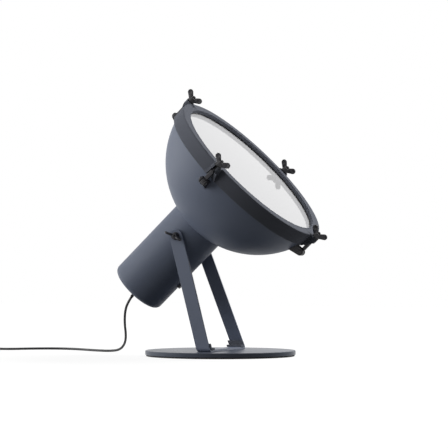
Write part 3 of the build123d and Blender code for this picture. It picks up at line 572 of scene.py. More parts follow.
# %% [markdown]
# ## Base
#
# The base is a thick steel disc with an eased rim, on a thin rubber disc a little smaller.
# Both are profiles turned round the upright axis. A cylinder with a Bevel would look alike, but
# a profile gives each edge a round of its own. The rubber has shallow rings underneath, as such
# pads have for grip.

# %% Base plate and pad
BASE_RADIUS = 0.150
BASE_LOW, BASE_TOP = 0.003, 0.0115
PLATE_EDGE_LOW, PLATE_EDGE_TOP = 0.0006, 0.0015
PAD_RADIUS = 0.148
PAD_EDGE_LOW, PAD_EDGE_TOP = 0.0008, 0.0004
PAD_RINGS = 14
RING_POINTS = 8
PAD_GROOVE = 0.0006
PAD_MIDDLE, PAD_BORDER, PAD_FOOT = 0.002, 0.003, 0.0025
BASE_AROUND, PAD_AROUND = 256, 192


def upright(shell):
    """The x axis of a turned shape stood up: (x, y, z) becomes (y, z, x)."""
    x, y, z, faces = apart(shell)
    return np.column_stack([y, z, x]), faces


plate = turned(
    [(BASE_LOW, 0), (BASE_LOW, BASE_RADIUS), (BASE_TOP, BASE_RADIUS), (BASE_TOP, 0)],
    [0, PLATE_EDGE_LOW, PLATE_EDGE_TOP, 0], BASE_AROUND,
)
add_piece("base_disc", [upright(plate)], plate_paint, "base", ["base_plate"])


def pad_profile():
    """The flat underside carries rings: its level rises by half a cosine, PAD_RINGS times."""
    radius = np.linspace(PAD_MIDDLE, PAD_RADIUS - PAD_BORDER, PAD_RINGS * RING_POINTS)
    level = PAD_GROOVE * (1 - np.cos(2 * math.pi * PAD_RINGS * radius / PAD_RADIUS)) / 2
    rim = rounded(
        [(0, PAD_RADIUS - PAD_FOOT), (0, PAD_RADIUS), (BASE_LOW, PAD_RADIUS), (BASE_LOW, 0)],
        [0, PAD_EDGE_LOW, PAD_EDGE_TOP, 0], closed=False,
    )
    return np.concatenate([[(0, 0)], np.column_stack([level, radius]), rim])


add_piece("base_rubber", [upright(spin(pad_profile(), PAD_AROUND, False))], rubber, "base",
          ["base_pad"])

# %% [markdown]
# ## Yoke
#
# One steel strap is bent up at both ends: a web on the base, two arms that lean back and
# towards each other, and upright round tabs that hold the head. Three boxes would show seams
# at the bends, so the strap is one ladder of stations along its bent middle line. Each station
# has a left and a right edge, and a thickness to both sides of the line. A Bevel modifier takes
# the sharpness off its edges.

# %% Strap
TUBE_RADIUS = 0.0581
BOSS_FACE = TUBE_RADIUS + 0.0008
FIBRE_THICK = 0.0012
YOKE_INNER = BOSS_FACE + FIBRE_THICK
STRAP_WIDTH, STRAP_THICK = 0.027, 0.004
FOOT_X, FOOT_HALF, TAB_HALF = 0.0030, 0.0984, YOKE_INNER + STRAP_THICK / 2
BEND_Z = PIVOT[2] - 0.0093
LEAN = (PIVOT[0] - FOOT_X) / (PIVOT[2] - BASE_TOP)
BEND_STEPS, TAB_STEPS = 8, 28
STRAP_BEND = 0.0045
TAB_STUB = 0.004
STRAP_EASE = 0.0007


def strap_line():
    """The strap's middle line in side-and-height (y, z), from the right tab to the left,
    with tangent arcs at its bends, and the outward normal at each point."""
    middle = BASE_TOP + STRAP_THICK / 2
    corners = [(-TAB_HALF, BEND_Z + TAB_STUB), (-TAB_HALF, BEND_Z), (-FOOT_HALF, middle),
               (FOOT_HALF, middle), (TAB_HALF, BEND_Z), (TAB_HALF, BEND_Z + TAB_STUB)]
    line = rounded(corners, STRAP_BEND, closed=False, steps=BEND_STEPS)
    way = np.gradient(line, axis=0)
    way /= np.linalg.norm(way, axis=1)[:, None]
    return line, np.column_stack([way[:, 1], -way[:, 0]])


def strap_edges(height):
    """The x of the strap's two edges at a height: a leaning band of even width."""
    middle = FOOT_X + LEAN * (height - BASE_TOP)
    half = STRAP_WIDTH * math.hypot(1, LEAN) / 2
    return middle - half, middle + half


def tab_arc():
    """The round end in (x, z): half a circle about the pivot, square to the lean."""
    start = math.atan2(1, LEAN) + math.pi / 2
    turn = start - np.linspace(0, math.pi, TAB_STEPS)
    radius = STRAP_WIDTH / 2
    return np.column_stack([PIVOT[0] + radius * np.cos(turn), PIVOT[2] + radius * np.sin(turn)])


def strap_shell():
    """Outer and inner skin at half the thickness to each side of the middle line; quads
    between stations, one many-sided face for each round tab, and a wall round the edge."""
    line, normal = strap_line()
    arc = tab_arc()
    skins = []
    for side in (1, -1):
        yz = line + side * STRAP_THICK / 2 * normal
        back, front = strap_edges(yz[:, 1])
        left = np.column_stack([back, yz])
        right = np.column_stack([front, yz])
        ends = [
            np.column_stack([arc[:, 0], np.full(len(arc), yz[k, 0]), arc[:, 1]])
            for k in (0, -1)
        ]
        skins.append(np.concatenate([left, right, *ends]))
    count, bow = len(line), len(arc)
    left, right = np.arange(count), count + np.arange(count)
    first, last = 2 * count + np.arange(bow), 2 * count + bow + np.arange(bow)
    loop = np.concatenate([left[::-1], first, right, last[::-1]])
    size = 2 * count + 2 * bow
    skin = [[left[k], left[k + 1], right[k + 1], right[k]] for k in range(count - 1)]
    skin += [[left[0], *first, right[0]], [left[-1], *last, right[-1]]]
    after = np.roll(loop, -1)
    wall = np.column_stack([loop, after, after + size, loop + size]).tolist()
    faces = skin + [[k + size for k in face][::-1] for face in skin] + wall
    return np.concatenate(skins), faces


# the strap's lighter coat is painted light
add_piece("yoke_strap", [strap_shell()], lit_strap_paint, "base", ["yoke"],
          bevel=STRAP_EASE)

# %% [markdown]
# ## Head shell
#
# The head is two spun parts. The rear housing is a drawn cup with a round rear edge and a
# small welded boss at each pivot. The dish is a round bowl whose collar sits inside the cup
# and whose rim is turned in to carry the glass. A Solidify modifier could give thin shells
# their thickness, but these are closed profiles, outer wall and inner wall in one line, turned
# round the beam, so the rims have their real shape too.

# %% Rear housing
WALL = 0.0015
SHOULDER = 0.0352
REAR_ROUND = 0.009
RELIEF_HOLE = 0.004
BOSS_RADIUS, BOSS_INNER = 0.012, TUBE_RADIUS - 0.003
BEAD_RADIUS, BEAD_POINTS = 0.0008, 12
CUT_EDGE, BOSS_EDGE = 0.0003, 0.0004
CUP_AROUND, BOSS_AROUND, DISH_AROUND = 192, 64, 288
CUP_STEPS = 10


def housing_profile():
    """(x, radius) of the cup: rear wall, round edge and outer wall, and back along the inside."""
    low, rear, front = TUBE_RADIUS - WALL, TUBE_REAR + WALL, SHOULDER
    corners = [
        (TUBE_REAR, RELIEF_HOLE), (TUBE_REAR, TUBE_RADIUS), (front, TUBE_RADIUS),
        (front, low), (rear, low), (rear, RELIEF_HOLE),
    ]
    radii = [CUT_EDGE, REAR_ROUND, CUT_EDGE, CUT_EDGE, REAR_ROUND - WALL, CUT_EDGE]
    return rounded(corners, radii, steps=CUP_STEPS)


def bead_profile():
    """A small circle where the cup meets the dish: the bead of the weld when it is turned."""
    t = full_turn(BEAD_POINTS)
    return BEAD_RADIUS * np.column_stack([np.cos(t), np.sin(t)]) + (SHOULDER, TUBE_RADIUS)


def boss_shell():
    """A low round pad for the side of the cup."""
    corners = [(BOSS_INNER, 0), (BOSS_INNER, BOSS_RADIUS), (BOSS_FACE, BOSS_RADIUS), (BOSS_FACE, 0)]
    return turned(corners, [0, 0, BOSS_EDGE, 0], BOSS_AROUND)


cup_shells = [aimed(spin(profile, CUP_AROUND)) for profile in (housing_profile(), bead_profile())]
add_piece("rear_cup", cup_shells + at_sides(boss_shell()), paint, "head", ["rear_housing"])

# %% Dish
RIM_RADIUS, DISH_RADIUS = 0.1794, 0.1834
DISH_CENTRE = SHOULDER + math.sqrt(DISH_RADIUS**2 - TUBE_RADIUS**2)
RIM_BACK = DISH_CENTRE - math.sqrt(DISH_RADIUS**2 - RIM_RADIUS**2)
RIM_FRONT = RIM_BACK + 0.0069
RIM_LIP, LIP_THICK = 0.009, 0.002
RIM_ROUND, LIP_EDGE, RIM_START = 0.0008, 0.0003, 0.0004
COLLAR, COLLAR_GAP = 0.015, 0.0001
BOWL_POINTS = 60


def sphere_x(radius, distance):
    """The x at which a sphere about the dish's centre is a distance away from the beam."""
    return DISH_CENTRE - np.sqrt(radius**2 - distance**2)


def dish_profile():
    """(x, radius) of the bowl: its back is x = centre - sqrt(R * R - r * r), outside and, a
    wall further in, inside; between them the collar and the turned-in rim."""
    inner = DISH_RADIUS - WALL
    bore = TUBE_RADIUS - WALL - COLLAR_GAP
    outside = np.linspace(TUBE_RADIUS, RIM_RADIUS - RIM_START, BOWL_POINTS)
    inside = np.linspace(RIM_RADIUS - WALL, bore - WALL, BOWL_POINTS)
    rim = rounded(
        [(RIM_BACK, RIM_RADIUS), (RIM_FRONT, RIM_RADIUS), (RIM_FRONT, RIM_RADIUS - RIM_LIP),
         (RIM_FRONT - LIP_THICK, RIM_RADIUS - RIM_LIP),
         (RIM_FRONT - LIP_THICK, RIM_RADIUS - WALL)],
        [0, RIM_ROUND, LIP_EDGE, LIP_EDGE, 0], closed=False,
    )
    collar = [(SHOULDER - COLLAR, bore - WALL), (SHOULDER - COLLAR, bore), (SHOULDER, bore)]
    return np.concatenate([
        np.column_stack([sphere_x(DISH_RADIUS, outside), outside]), rim,
        np.column_stack([sphere_x(inner, inside), inside]), collar,
    ])


add_piece("dish_bowl", [aimed(spin(dish_profile(), DISH_AROUND))], paint, "head", ["dish"])

# %% [markdown]
# ## Glass
#
# A flat disc of opal glass closes the dish. Its edge is ground to a small round, so it is a
# turned profile like the base and not a bare cylinder. The two seals around it stay as they are
# in the model, in rubber.

# %% Opal disc
GLASS_RADIUS = RIM_RADIUS - 0.003
GLASS_BACK = RIM_FRONT + 0.0015
GLASS_FRONT = GLASS_BACK + 0.004
GASKET_FRONT = GLASS_FRONT + 0.002
GROUND_EDGE = 0.0008
GLASS_AROUND = 192

disc = turned(
    [(GLASS_BACK, 0), (GLASS_BACK, GLASS_RADIUS), (GLASS_FRONT, GLASS_RADIUS), (GLASS_FRONT, 0)],
    GROUND_EDGE, GLASS_AROUND,
)
add_piece("opal_disc", [aimed(disc)], opal, "head", ["front_glass"])

# %% [markdown]
# ## Front ring
#
# The ring is turned: a band over the rim of the dish, a flat face, and a lip that reaches
# back to the glass. Four slotted lugs stand on it, at the clamps. A lug is a block with a
# slot, and two legs that spread towards the rear like a horseshoe. Cutting the slot with a
# Boolean would leave ragged faces, so slot and outline are two lines joined station by station.

# %% Ring
RING_INNER, RING_OUTER = RIM_RADIUS + 0.0015, RIM_RADIUS + 0.0035
FACE_BACK = GASKET_FRONT + 0.0041
RING_FRONT = FACE_BACK + 0.0025
RING_REAR = RING_FRONT - 0.0291
OPENING = GLASS_RADIUS - 0.0129
ROLL = 0.0004
ROLL_FOOT, ROLL_TOP, ROLL_FALL = OPENING + 0.0032, OPENING + 0.0026, 0.0009
LIP_OUTER = OPENING + 0.002
BAND_ROUND, FACE_ROUND, ROLL_ROUND, LIP_ROUND = 0.0005, 0.002, 0.0004, 0.0003
BAND_EDGE = 0.0007
RING_AROUND, RING_STEPS = 288, 3


def ring_profile():
    """(x, radius) of band, face and lip, as one closed line. The face ends in a low roll, and
    the lip behind it covers the seal on the glass."""
    edge = RING_FRONT + ROLL
    corners = [
        (RING_REAR, RING_INNER), (RING_REAR, RING_OUTER), (RING_FRONT, RING_OUTER),
        (RING_FRONT, ROLL_FOOT), (edge, ROLL_TOP), (edge, OPENING + ROLL),
        (edge - ROLL_FALL, OPENING), (GASKET_FRONT, OPENING), (GASKET_FRONT, LIP_OUTER),
        (FACE_BACK, LIP_OUTER), (FACE_BACK, RING_INNER),
    ]
    radii = [BAND_ROUND, BAND_EDGE, FACE_ROUND] + 3 * [ROLL_ROUND] + 3 * [LIP_ROUND]
    return rounded(corners, radii + 2 * [BAND_ROUND], steps=RING_STEPS)


# the ring's greyer coat is painted shade
add_piece("front_band", [aimed(spin(ring_profile(), RING_AROUND))], shaded_ring_paint, "head",
          ["front_ring"])

# %% Lugs
CLAMP_RADIUS = RING_OUTER + 0.0069
CLAMP_REACH = 0.0417
HINGE_X = RING_FRONT - CLAMP_REACH
LUG_TOP, LUG_LOW = CLAMP_RADIUS + 0.0066, RING_OUTER - 0.001
LUG_HALF, LUG_CORNER = 0.010, 0.006
LUG_BACK = RING_FRONT - 0.0129
LUG_BACK_ROUND, LEG_RISE = 0.003, 0.0008
SLOT_HALF = 0.00325
POCKET_END = RING_FRONT - 0.0089
KNEE_X, SHOULDER_X = RING_FRONT - 0.0189, RING_FRONT - 0.0120
LUG_STATIONS, LEG_STATIONS = 72, 40
SLOT_POINTS, CORNER_STEPS, BACK_POINTS, POCKET_POINTS = 24, 10, 8, 9
# half widths of the pocket and of the two legs round it, at the rear, the knee and the end
POCKET_REAR, POCKET_KNEE, POCKET_HALF = 0.0096, 0.0060, 0.0049
LEGS_REAR, LEGS_KNEE = 0.0154, 0.0118
POCKET_SWEEP = 0.85 * math.pi / 2
POCKET_OVERLAP, LEG_OVERLAP = 0.0004, 0.0006
LUG_EASE = 0.0006


def spaced(line, count):
    """The same line with points at even distances along it."""
    along = np.concatenate([[0], np.cumsum(np.linalg.norm(np.diff(line, axis=0), axis=1))])
    even = np.linspace(0, along[-1], count)
    return np.column_stack([np.interp(even, along, line[:, k]) for k in range(line.shape[1])])


def lug_block():
    """The slotted block: each station joins a point of the slot's outline to one of the block's
    outline. The front follows the circle of the swinging bolt."""
    t = np.linspace(math.pi, 2 * math.pi, SLOT_POINTS)
    slot = np.column_stack([SLOT_HALF * np.cos(t), CLAMP_RADIUS + SLOT_HALF * np.sin(t)])
    slot = spaced(
        np.concatenate([[(-SLOT_HALF, LUG_TOP)], slot, [(SLOT_HALF, LUG_TOP)]]), LUG_STATIONS
    )
    outline = rounded(
        [(-SLOT_HALF, LUG_TOP), (-LUG_HALF, LUG_TOP), (-LUG_HALF, LUG_LOW), (LUG_HALF, LUG_LOW),
         (LUG_HALF, LUG_TOP), (SLOT_HALF, LUG_TOP)],
        [0, LUG_CORNER, 0, 0, LUG_CORNER, 0], closed=False, steps=CORNER_STEPS,
    )
    outline = spaced(outline, LUG_STATIONS)

    def lay(yz, x):
        return np.column_stack([x + 0 * yz[:, 0], yz])

    def front(yz):
        rise = np.clip(yz[:, 1] - CLAMP_RADIUS, 0, None)
        return HINGE_X + np.sqrt(CLAMP_REACH**2 - rise**2)

    rows = [lay(slot, front(slot)), lay(outline, front(outline)), lay(outline, POCKET_END),
            lay(slot, POCKET_END)]
    return np.stack(rows, axis=1), grid_faces(LUG_STATIONS, 4, False, True)


def leg_height(x, y):
    """The top of a leg: a straight slope up to the block, a quarter round on to its level top,
    and towards the sides the block's own round corner."""
    turn = np.linspace(0, math.pi / 2, BACK_POINTS)
    bend_x = LUG_BACK + LUG_BACK_ROUND * (1 - np.cos(turn))
    bend_z = LUG_TOP - LUG_BACK_ROUND * (1 - np.sin(turn))
    top = np.interp(x, [RING_REAR, *bend_x], [RING_OUTER + LEG_RISE, *bend_z])
    beyond = np.clip(np.abs(y) - (LUG_HALF - LUG_CORNER), 0, LUG_CORNER)
    corner = LUG_TOP - LUG_CORNER + np.sqrt(LUG_CORNER**2 - beyond**2)
    return np.where(x > LUG_BACK, np.minimum(top, corner), top)


def lug_leg(way):
    """One leg in plan: an inner line round the pocket and an outer line, both from the rear of
    the band to the block, joined station by station, and upright between band and top."""
    turn = np.linspace(0, POCKET_SWEEP, POCKET_POINTS)
    deep = POCKET_END + POCKET_OVERLAP - SHOULDER_X
    end = np.column_stack([SHOULDER_X + deep * np.sin(turn), POCKET_HALF * np.cos(turn)])
    inner = np.concatenate([[(RING_REAR, POCKET_REAR), (KNEE_X, POCKET_KNEE)], end])
    outer = np.array([(RING_REAR, LEGS_REAR), (KNEE_X, LEGS_KNEE), (LUG_BACK, LUG_HALF),
                      (POCKET_END + LEG_OVERLAP, LUG_HALF)])
    inner, outer = spaced(inner, LEG_STATIONS), spaced(outer, LEG_STATIONS)
    rows = []
    for line, level in ((inner, None), (inner, leg_height), (outer, leg_height), (outer, None)):
        x, y = line.T
        z = np.full(len(x), LUG_LOW) if level is None else level(x, y)
        rows.append(np.column_stack([x, way * y, z]))
    return np.stack(rows, axis=1), capped_faces(LEG_STATIONS, 4)


# the lugs take the same greyer coat: painted shade
add_piece("ring_lugs", at_clamps(lug_block(), lug_leg(1), lug_leg(-1)), shaded_ring_paint, "head",
          ["front_ring"], bevel=LUG_EASE)

# %% [markdown]
# ## Rim clamps
#
# Each clamp is a two-eared bracket on the dish, a headed pin, an eye bolt that swings on the
# pin into the slot of its lug, a washer and a wing nut. Ears are flat outlines made thick,
# the saddle between them follows the dish, and everything round is turned. All of it is made
# once, at the top of the ring, and copied round the beam.

# %% Brackets
EAR_INNER, EAR_OUTER = 0.0042, 0.0070
EAR_NOSE = 0.0070
EAR_REAR, EAR_FRONT = 0.0135, 0.006
FOOT_POINTS, NOSE_POINTS = 14, 26
SADDLE_REAR, SADDLE_THICK, SADDLE_INSET = 0.005, 0.003, 0.0004
SADDLE_ROWS, SADDLE_COLUMNS = 12, 9
SUNK = 0.0006
BRACKET_EASE = 0.0005


def on_dish(x, y, proud):
    """The height above the beam of a sphere a little proud of the dish, at (x, y)."""
    return np.sqrt((DISH_RADIUS + proud) ** 2 - (x - DISH_CENTRE) ** 2 - y**2)


def ear_outline():
    """(x, z) of an ear: its foot lies along the dish, its two sides touch the round nose."""
    foot_x = np.linspace(HINGE_X + EAR_FRONT, HINGE_X - EAR_REAR, FOOT_POINTS)
    foot = np.column_stack([foot_x, on_dish(foot_x, EAR_OUTER, -SUNK)])
    nose = np.array([HINGE_X, CLAMP_RADIUS])
    arcs = []
    for corner, way in ((foot[-1], 1), (foot[0], -1)):
        away = corner - nose
        far = np.linalg.norm(away)
        heading = math.atan2(away[1], away[0])
        arcs.append(heading - way * math.acos(EAR_NOSE / far))
    start, end = arcs
    turn = np.linspace(start, end - 2 * math.pi if end > start else end, NOSE_POINTS)
    round_nose = nose + EAR_NOSE * np.column_stack([np.cos(turn), np.sin(turn)])
    return np.concatenate([foot, round_nose])


def saddle_shell():
    """A patch of the dish's sphere made thick: at each x a closed loop across the two ears."""
    half = EAR_OUTER - SADDLE_INSET
    x = np.linspace(HINGE_X + EAR_FRONT, HINGE_X - SADDLE_REAR, SADDLE_ROWS)[:, None]
    y = np.linspace(-half, half, SADDLE_COLUMNS)[None, :]
    upper = np.stack([x + 0 * y, y + 0 * x, on_dish(x, y, SADDLE_THICK)], axis=-1)
    lower = np.stack([x + 0 * y, y + 0 * x, on_dish(x, y, -SUNK)], axis=-1)[:, ::-1]
    loops = np.concatenate([upper, lower], axis=1)
    return loops, capped_faces(*loops.shape[:2])


ears = [slab(ear_outline(), *ends) for ends in ((EAR_INNER, EAR_OUTER), (-EAR_OUTER, -EAR_INNER))]
add_piece("clamp_ears", at_clamps(*ears, saddle_shell()), black, "head", ["clamp_brackets"],
          bevel=BRACKET_EASE)

# %% Hinge pins
PIN_RADIUS, PIN_HEAD, PIN_HEAD_THICK = 0.0025, 0.0044, 0.0024
PIN_NECK, PIN_ROUND = 0.0003, 0.0009
PIN_AROUND = 40


def pin_shell():
    """The pin across the ears: its profile (y, radius) has a rounded head outside each ear."""
    out = EAR_OUTER + PIN_HEAD_THICK
    half = [(EAR_OUTER, PIN_RADIUS), (EAR_OUTER, PIN_HEAD), (out, PIN_HEAD), (out, 0)]
    corners = [(-y, r) for y, r in half[::-1]] + half
    radii = [0, PIN_ROUND, PIN_NECK, 0, 0, PIN_NECK, PIN_ROUND, 0]
    return to_side(turned(corners, radii, PIN_AROUND), 1)


pin = moved(pin_shell(), HINGE_X, 0, CLAMP_RADIUS)
add_piece("clamp_pins", at_clamps(pin), black, "head", ["hinge_pins"])

# %% [markdown]
# ### Threads
#
# A bolt's thread is a surface of its own: the radius is the bolt's, less a small depth times
# a triangle wave of (length / pitch - turn / full circle). That wave climbs one pitch in one
# turn, which is what makes a screw of it. A Screw modifier makes threads too, but this way the
# plain shank runs into the thread without a seam.

# %% Threaded rods
BOLT_RADIUS = 0.003
PITCH = 0.001
THREAD_DEPTH = 0.00035
POINT_LENGTH, POINT_SLOPE = 0.0009, 0.7
PITCH_POINTS, PLAIN_POINTS, BOLT_AROUND = 7, 5, 32


def rod_shell(start, end, thread_from):
    """A bar along x. From thread_from on its radius is r - depth * wave(x / pitch - turn), and
    over the last POINT_LENGTH it narrows to a point with a flat end."""
    plain = np.linspace(start, thread_from, PLAIN_POINTS, endpoint=False)
    x = np.concatenate([plain, np.arange(thread_from, end, PITCH / PITCH_POINTS), [end]])[:, None]
    turn = full_turn(BOLT_AROUND)[None, :]
    phase = (x / PITCH - turn / (2 * math.pi)) % 1.0
    wave = 1 - np.abs(2 * phase - 1)
    depth = THREAD_DEPTH * np.clip((x - thread_from) / PITCH, 0, 1)
    narrow = POINT_SLOPE * np.clip(x - (end - POINT_LENGTH), 0, None)
    r = BOLT_RADIUS - depth * wave - narrow
    points = np.stack([x + 0 * turn, r * np.cos(turn), r * np.sin(turn)], axis=-1)
    return points, capped_faces(len(x), BOLT_AROUND)


print("thread: pitch", PITCH, "m, depth", THREAD_DEPTH, "m")

# %% Swing bolts
RUNNING_GAP = 0.000075
EYE_RADIUS, EYE_HALF = 0.0062, 0.004
EYE_BORE = PIN_RADIUS + RUNNING_GAP
BORE_EDGE, EYE_ROUND, EYE_AROUND = 0.0004, 0.0014, 64
BOLT_TIP = RING_FRONT + 0.0138
ARM_START, ARM_END = HINGE_X + 0.0045, HINGE_X + 0.0288
ARM_HALF_HEIGHT, ARM_DROP, ARM_POWER = 0.0035, 0.3, 6
SHANK_POINTS, TIP_POINTS, ARM_AROUND = 3, 12, 40
ROD_SUNK, THREAD_SUNK = 0.003, 0.001


def eye_shell():
    """The bolt's eye: a thick ring round y, with eased edges."""
    corners = [(-EYE_HALF, EYE_BORE), (-EYE_HALF, EYE_RADIUS), (EYE_HALF, EYE_RADIUS),
               (EYE_HALF, EYE_BORE)]
    profile = rounded(corners, [BORE_EDGE, EYE_ROUND, EYE_ROUND, BORE_EDGE])
    return to_side(spin(profile, EYE_AROUND), 1)


def superellipse(turn, power):
    """The two coordinates of |a|^power + |b|^power = 1: each is |cos| or |sin| of the turn, to
    the power of 2 / power, with its own sign."""
    cos, sin = np.cos(turn), np.sin(turn)
    bend = 2 / power
    return np.sign(cos) * np.abs(cos) ** bend, np.sign(sin) * np.abs(sin) ** bend


def arm_shell():
    """The flat arm from the eye on, with a round end. Its section is the superellipse
    |y / w|^6 + |z / h|^6 = 1, and over the round end w is the half width of a circle."""
    middle = ARM_END - EYE_HALF
    turn = np.linspace(0, math.pi / 2, TIP_POINTS)
    shank = np.linspace(ARM_START, middle, SHANK_POINTS, endpoint=False)
    x = np.concatenate([shank, middle + EYE_HALF * np.sin(turn)])
    w = np.concatenate([np.full(SHANK_POINTS, EYE_HALF), EYE_HALF * np.cos(turn)])[:, None]
    h = ARM_HALF_HEIGHT * (1 - ARM_DROP * ((EYE_HALF - w) / EYE_HALF) ** 3)
    across, upward = superellipse(full_turn(ARM_AROUND), ARM_POWER)
    y, z = w * across, h * upward
    points = np.stack([x[:, None] + 0 * y, y, z], axis=-1)
    return points, capped_faces(len(x), ARM_AROUND)[:-1]


rod = rod_shell(ARM_END - ROD_SUNK, BOLT_TIP, ARM_END - THREAD_SUNK)
bolt_shells = [
    moved(eye_shell(), HINGE_X, 0, CLAMP_RADIUS),
    moved(arm_shell(), 0, 0, CLAMP_RADIUS),
    moved(rod, 0, 0, CLAMP_RADIUS),
]
for place in CLAMPS:
    add_piece(f"eye_bolt_{place}", [at_clamp(shell, place) for shell in bolt_shells], black,
              f"swing_{place}", [f"swing_bolt_{place}"])

# %% Washers
WASHER_RADIUS, WASHER_THICK = 0.008, 0.0012
WASHER_BORE = BOLT_RADIUS + RUNNING_GAP
STAMPED_BORE, STAMPED_EDGE = 0.0002, 0.0004
WASHER_STEPS, WASHER_AROUND = 3, 56


def washer_shell(radius=WASHER_RADIUS, thick=WASHER_THICK):
    """A flat washer round x, stamped, so its edges are a little round."""
    corners = [(0, WASHER_BORE), (0, radius), (thick, radius), (thick, WASHER_BORE)]
    radii = [STAMPED_BORE, STAMPED_EDGE, STAMPED_EDGE, STAMPED_BORE]
    return spin(rounded(corners, radii, steps=WASHER_STEPS), WASHER_AROUND)


print("washer:", WASHER_RADIUS, "m in radius")

# %% [markdown]
# ### Wing nuts
#
# A wing nut is cast or forged in one piece: a conical hub and two ears with full round
# edges. Each ear is swept from the hub to its tip with a flattened round section that closes
# at both ends. A voxel Remesh melts hub and ears into one skin with soft inner corners, as
# in a casting, and a Smooth modifier takes the voxel steps off.

# %% Wing nut
NUT_BASE, NUT_TOP, NUT_HEIGHT = 0.0075, 0.0060, 0.0090
HUB_LOW_ROUND, HUB_TOP_ROUND, HUB_AROUND = 0.0005, 0.0008, 48
EAR_ROOT, EAR_TIP = np.array([0.004, 0.0025]), np.array([0.0127, 0.0134])
EAR_WIDE, EAR_NECK, EAR_THICK = 0.0058, 0.0047, 0.0025
EAR_POWER = 2.4
EAR_STATIONS, EAR_AROUND = 40, 48
HOLLOW_SIZE, HOLLOW_DEPTH, HOLLOW_MOST = 0.0036, 0.0013, 0.8
NUT_VOXEL = 0.00042
CALM_FACTOR, CALM_ROUNDS = 0.5, 5


def ear_of_nut(way):
    """Along the ear, s runs from end to end; across it goes a superellipse
    |a / w|^2.4 + |b / t|^2.4 = 1, whose width w and thickness t close at both ends as
    sqrt(1 - q * q) and (1 - q^4)^(1/4), q being how far s is into the end. Both sides of the
    round end are hollowed by exp(-(r / size)^4), r being the distance from its middle."""
    length = np.linalg.norm(EAR_TIP - EAR_ROOT)
    along = (EAR_TIP - EAR_ROOT) / length
    across = np.array([along[1], -along[0]])
    s = (length / 2) - (length / 2 + EAR_WIDE) * np.cos(np.linspace(0, math.pi, EAR_STATIONS))
    q = np.clip(np.abs(s - length / 2) - length / 2, 0, EAR_WIDE) / EAR_WIDE
    grow = np.clip(s / length, 0, 1)
    wide = (EAR_NECK + (EAR_WIDE - EAR_NECK) * grow) * np.sqrt(1 - q**2)
    thick = EAR_THICK * (1 - q**4) ** 0.25
    wide_way, thick_way = superellipse(full_turn(EAR_AROUND), EAR_POWER)
    a, b = wide[:, None] * wide_way, thick[:, None] * thick_way
    far = np.hypot(s[:, None] - length, a) / HOLLOW_SIZE
    b -= np.sign(b) * np.minimum(HOLLOW_DEPTH * np.exp(-far**4), np.abs(b) * HOLLOW_MOST)
    x = EAR_ROOT[0] + s[:, None] * along[0] + a * across[0]
    y = EAR_ROOT[1] + s[:, None] * along[1] + a * across[1]
    faces = grid_faces(EAR_STATIONS, EAR_AROUND, False, True)
    return np.stack([x, way * y, b], axis=-1), faces


def melted(shells):
    """The shells as one skin: voxel Remesh, then Smooth, read back as points and faces."""
    block = new_object("block", make_mesh("block", shells))
    skin = block.modifiers.new("skin", "REMESH")
    skin.mode = "VOXEL"
    skin.voxel_size = NUT_VOXEL
    calm = block.modifiers.new("calm", "SMOOTH")
    calm.factor, calm.iterations = CALM_FACTOR, CALM_ROUNDS
    bpy.context.view_layer.update()
    result = bpy.data.meshes.new_from_object(
        block.evaluated_get(bpy.context.evaluated_depsgraph_get())
    )
    points = np.empty(len(result.vertices) * 3)
    result.vertices.foreach_get("co", points)
    faces = [list(face.vertices) for face in result.polygons]
    bpy.data.objects.remove(block)
    bpy.data.meshes.remove(result)
    return points.reshape(-1, 3), faces


hub = turned(
    [(0, 0), (0, NUT_BASE), (NUT_HEIGHT, NUT_TOP), (NUT_HEIGHT, 0)],
    [0, HUB_LOW_ROUND, HUB_TOP_ROUND, 0], HUB_AROUND,
)
wing_nut = melted([hub, ear_of_nut(1), ear_of_nut(-1)])
print("wing nut:", len(wing_nut[1]), "faces, box",
      wing_nut[0].min(axis=0).round(4), wing_nut[0].max(axis=0).round(4))

# %% Washers and nuts on the rim
RIM_NUT_TURN = {"top": 90, "right": 0, "bottom": 90, "left": 0}
NUT_BACK = RING_FRONT + WASHER_THICK

for place in CLAMPS:
    washer = moved(washer_shell(), RING_FRONT, 0, CLAMP_RADIUS)
    add_piece(f"rim_washer_{place}", [at_clamp(washer, place)], black, f"swing_{place}",
              [f"clamp_washer_{place}"])
    nut = moved(turned_x(wing_nut, RIM_NUT_TURN[place]), NUT_BACK, 0, CLAMP_RADIUS)
    add_piece(f"rim_nut_{place}", [at_clamp(nut, place)], black, f"rim_nut_{place}",
              [f"rim_wing_nut_{place}"])

# %% [markdown]
# ## Pivots
#
# The head hangs on a bolt at each side: a flat head inside the housing, a fibre washer
# between boss and yoke, and a steel washer and a wing nut outside, which clamp the tilt. They
# are made from the same threads, washers and nuts as the rim clamps.

# %% Pivot bolts, washers and nuts
YOKE_OUTER = YOKE_INNER + STRAP_THICK
PIVOT_TIP = YOKE_OUTER + 0.0135
PIVOT_HEAD, HEAD_THICK = 0.0065, 0.0035
HEAD_ROUND, HEAD_NECK, HEAD_AROUND = 0.0008, 0.0002, 48
PIVOT_NUT_TURN = 110.0


def head_shell():
    """The bolt's flat head inside the housing."""
    corners = [(BOSS_INNER - HEAD_THICK, 0), (BOSS_INNER - HEAD_THICK, PIVOT_HEAD),
               (BOSS_INNER, PIVOT_HEAD), (BOSS_INNER, 0)]
    return turned(corners, [0, HEAD_ROUND, HEAD_NECK, 0], HEAD_AROUND)


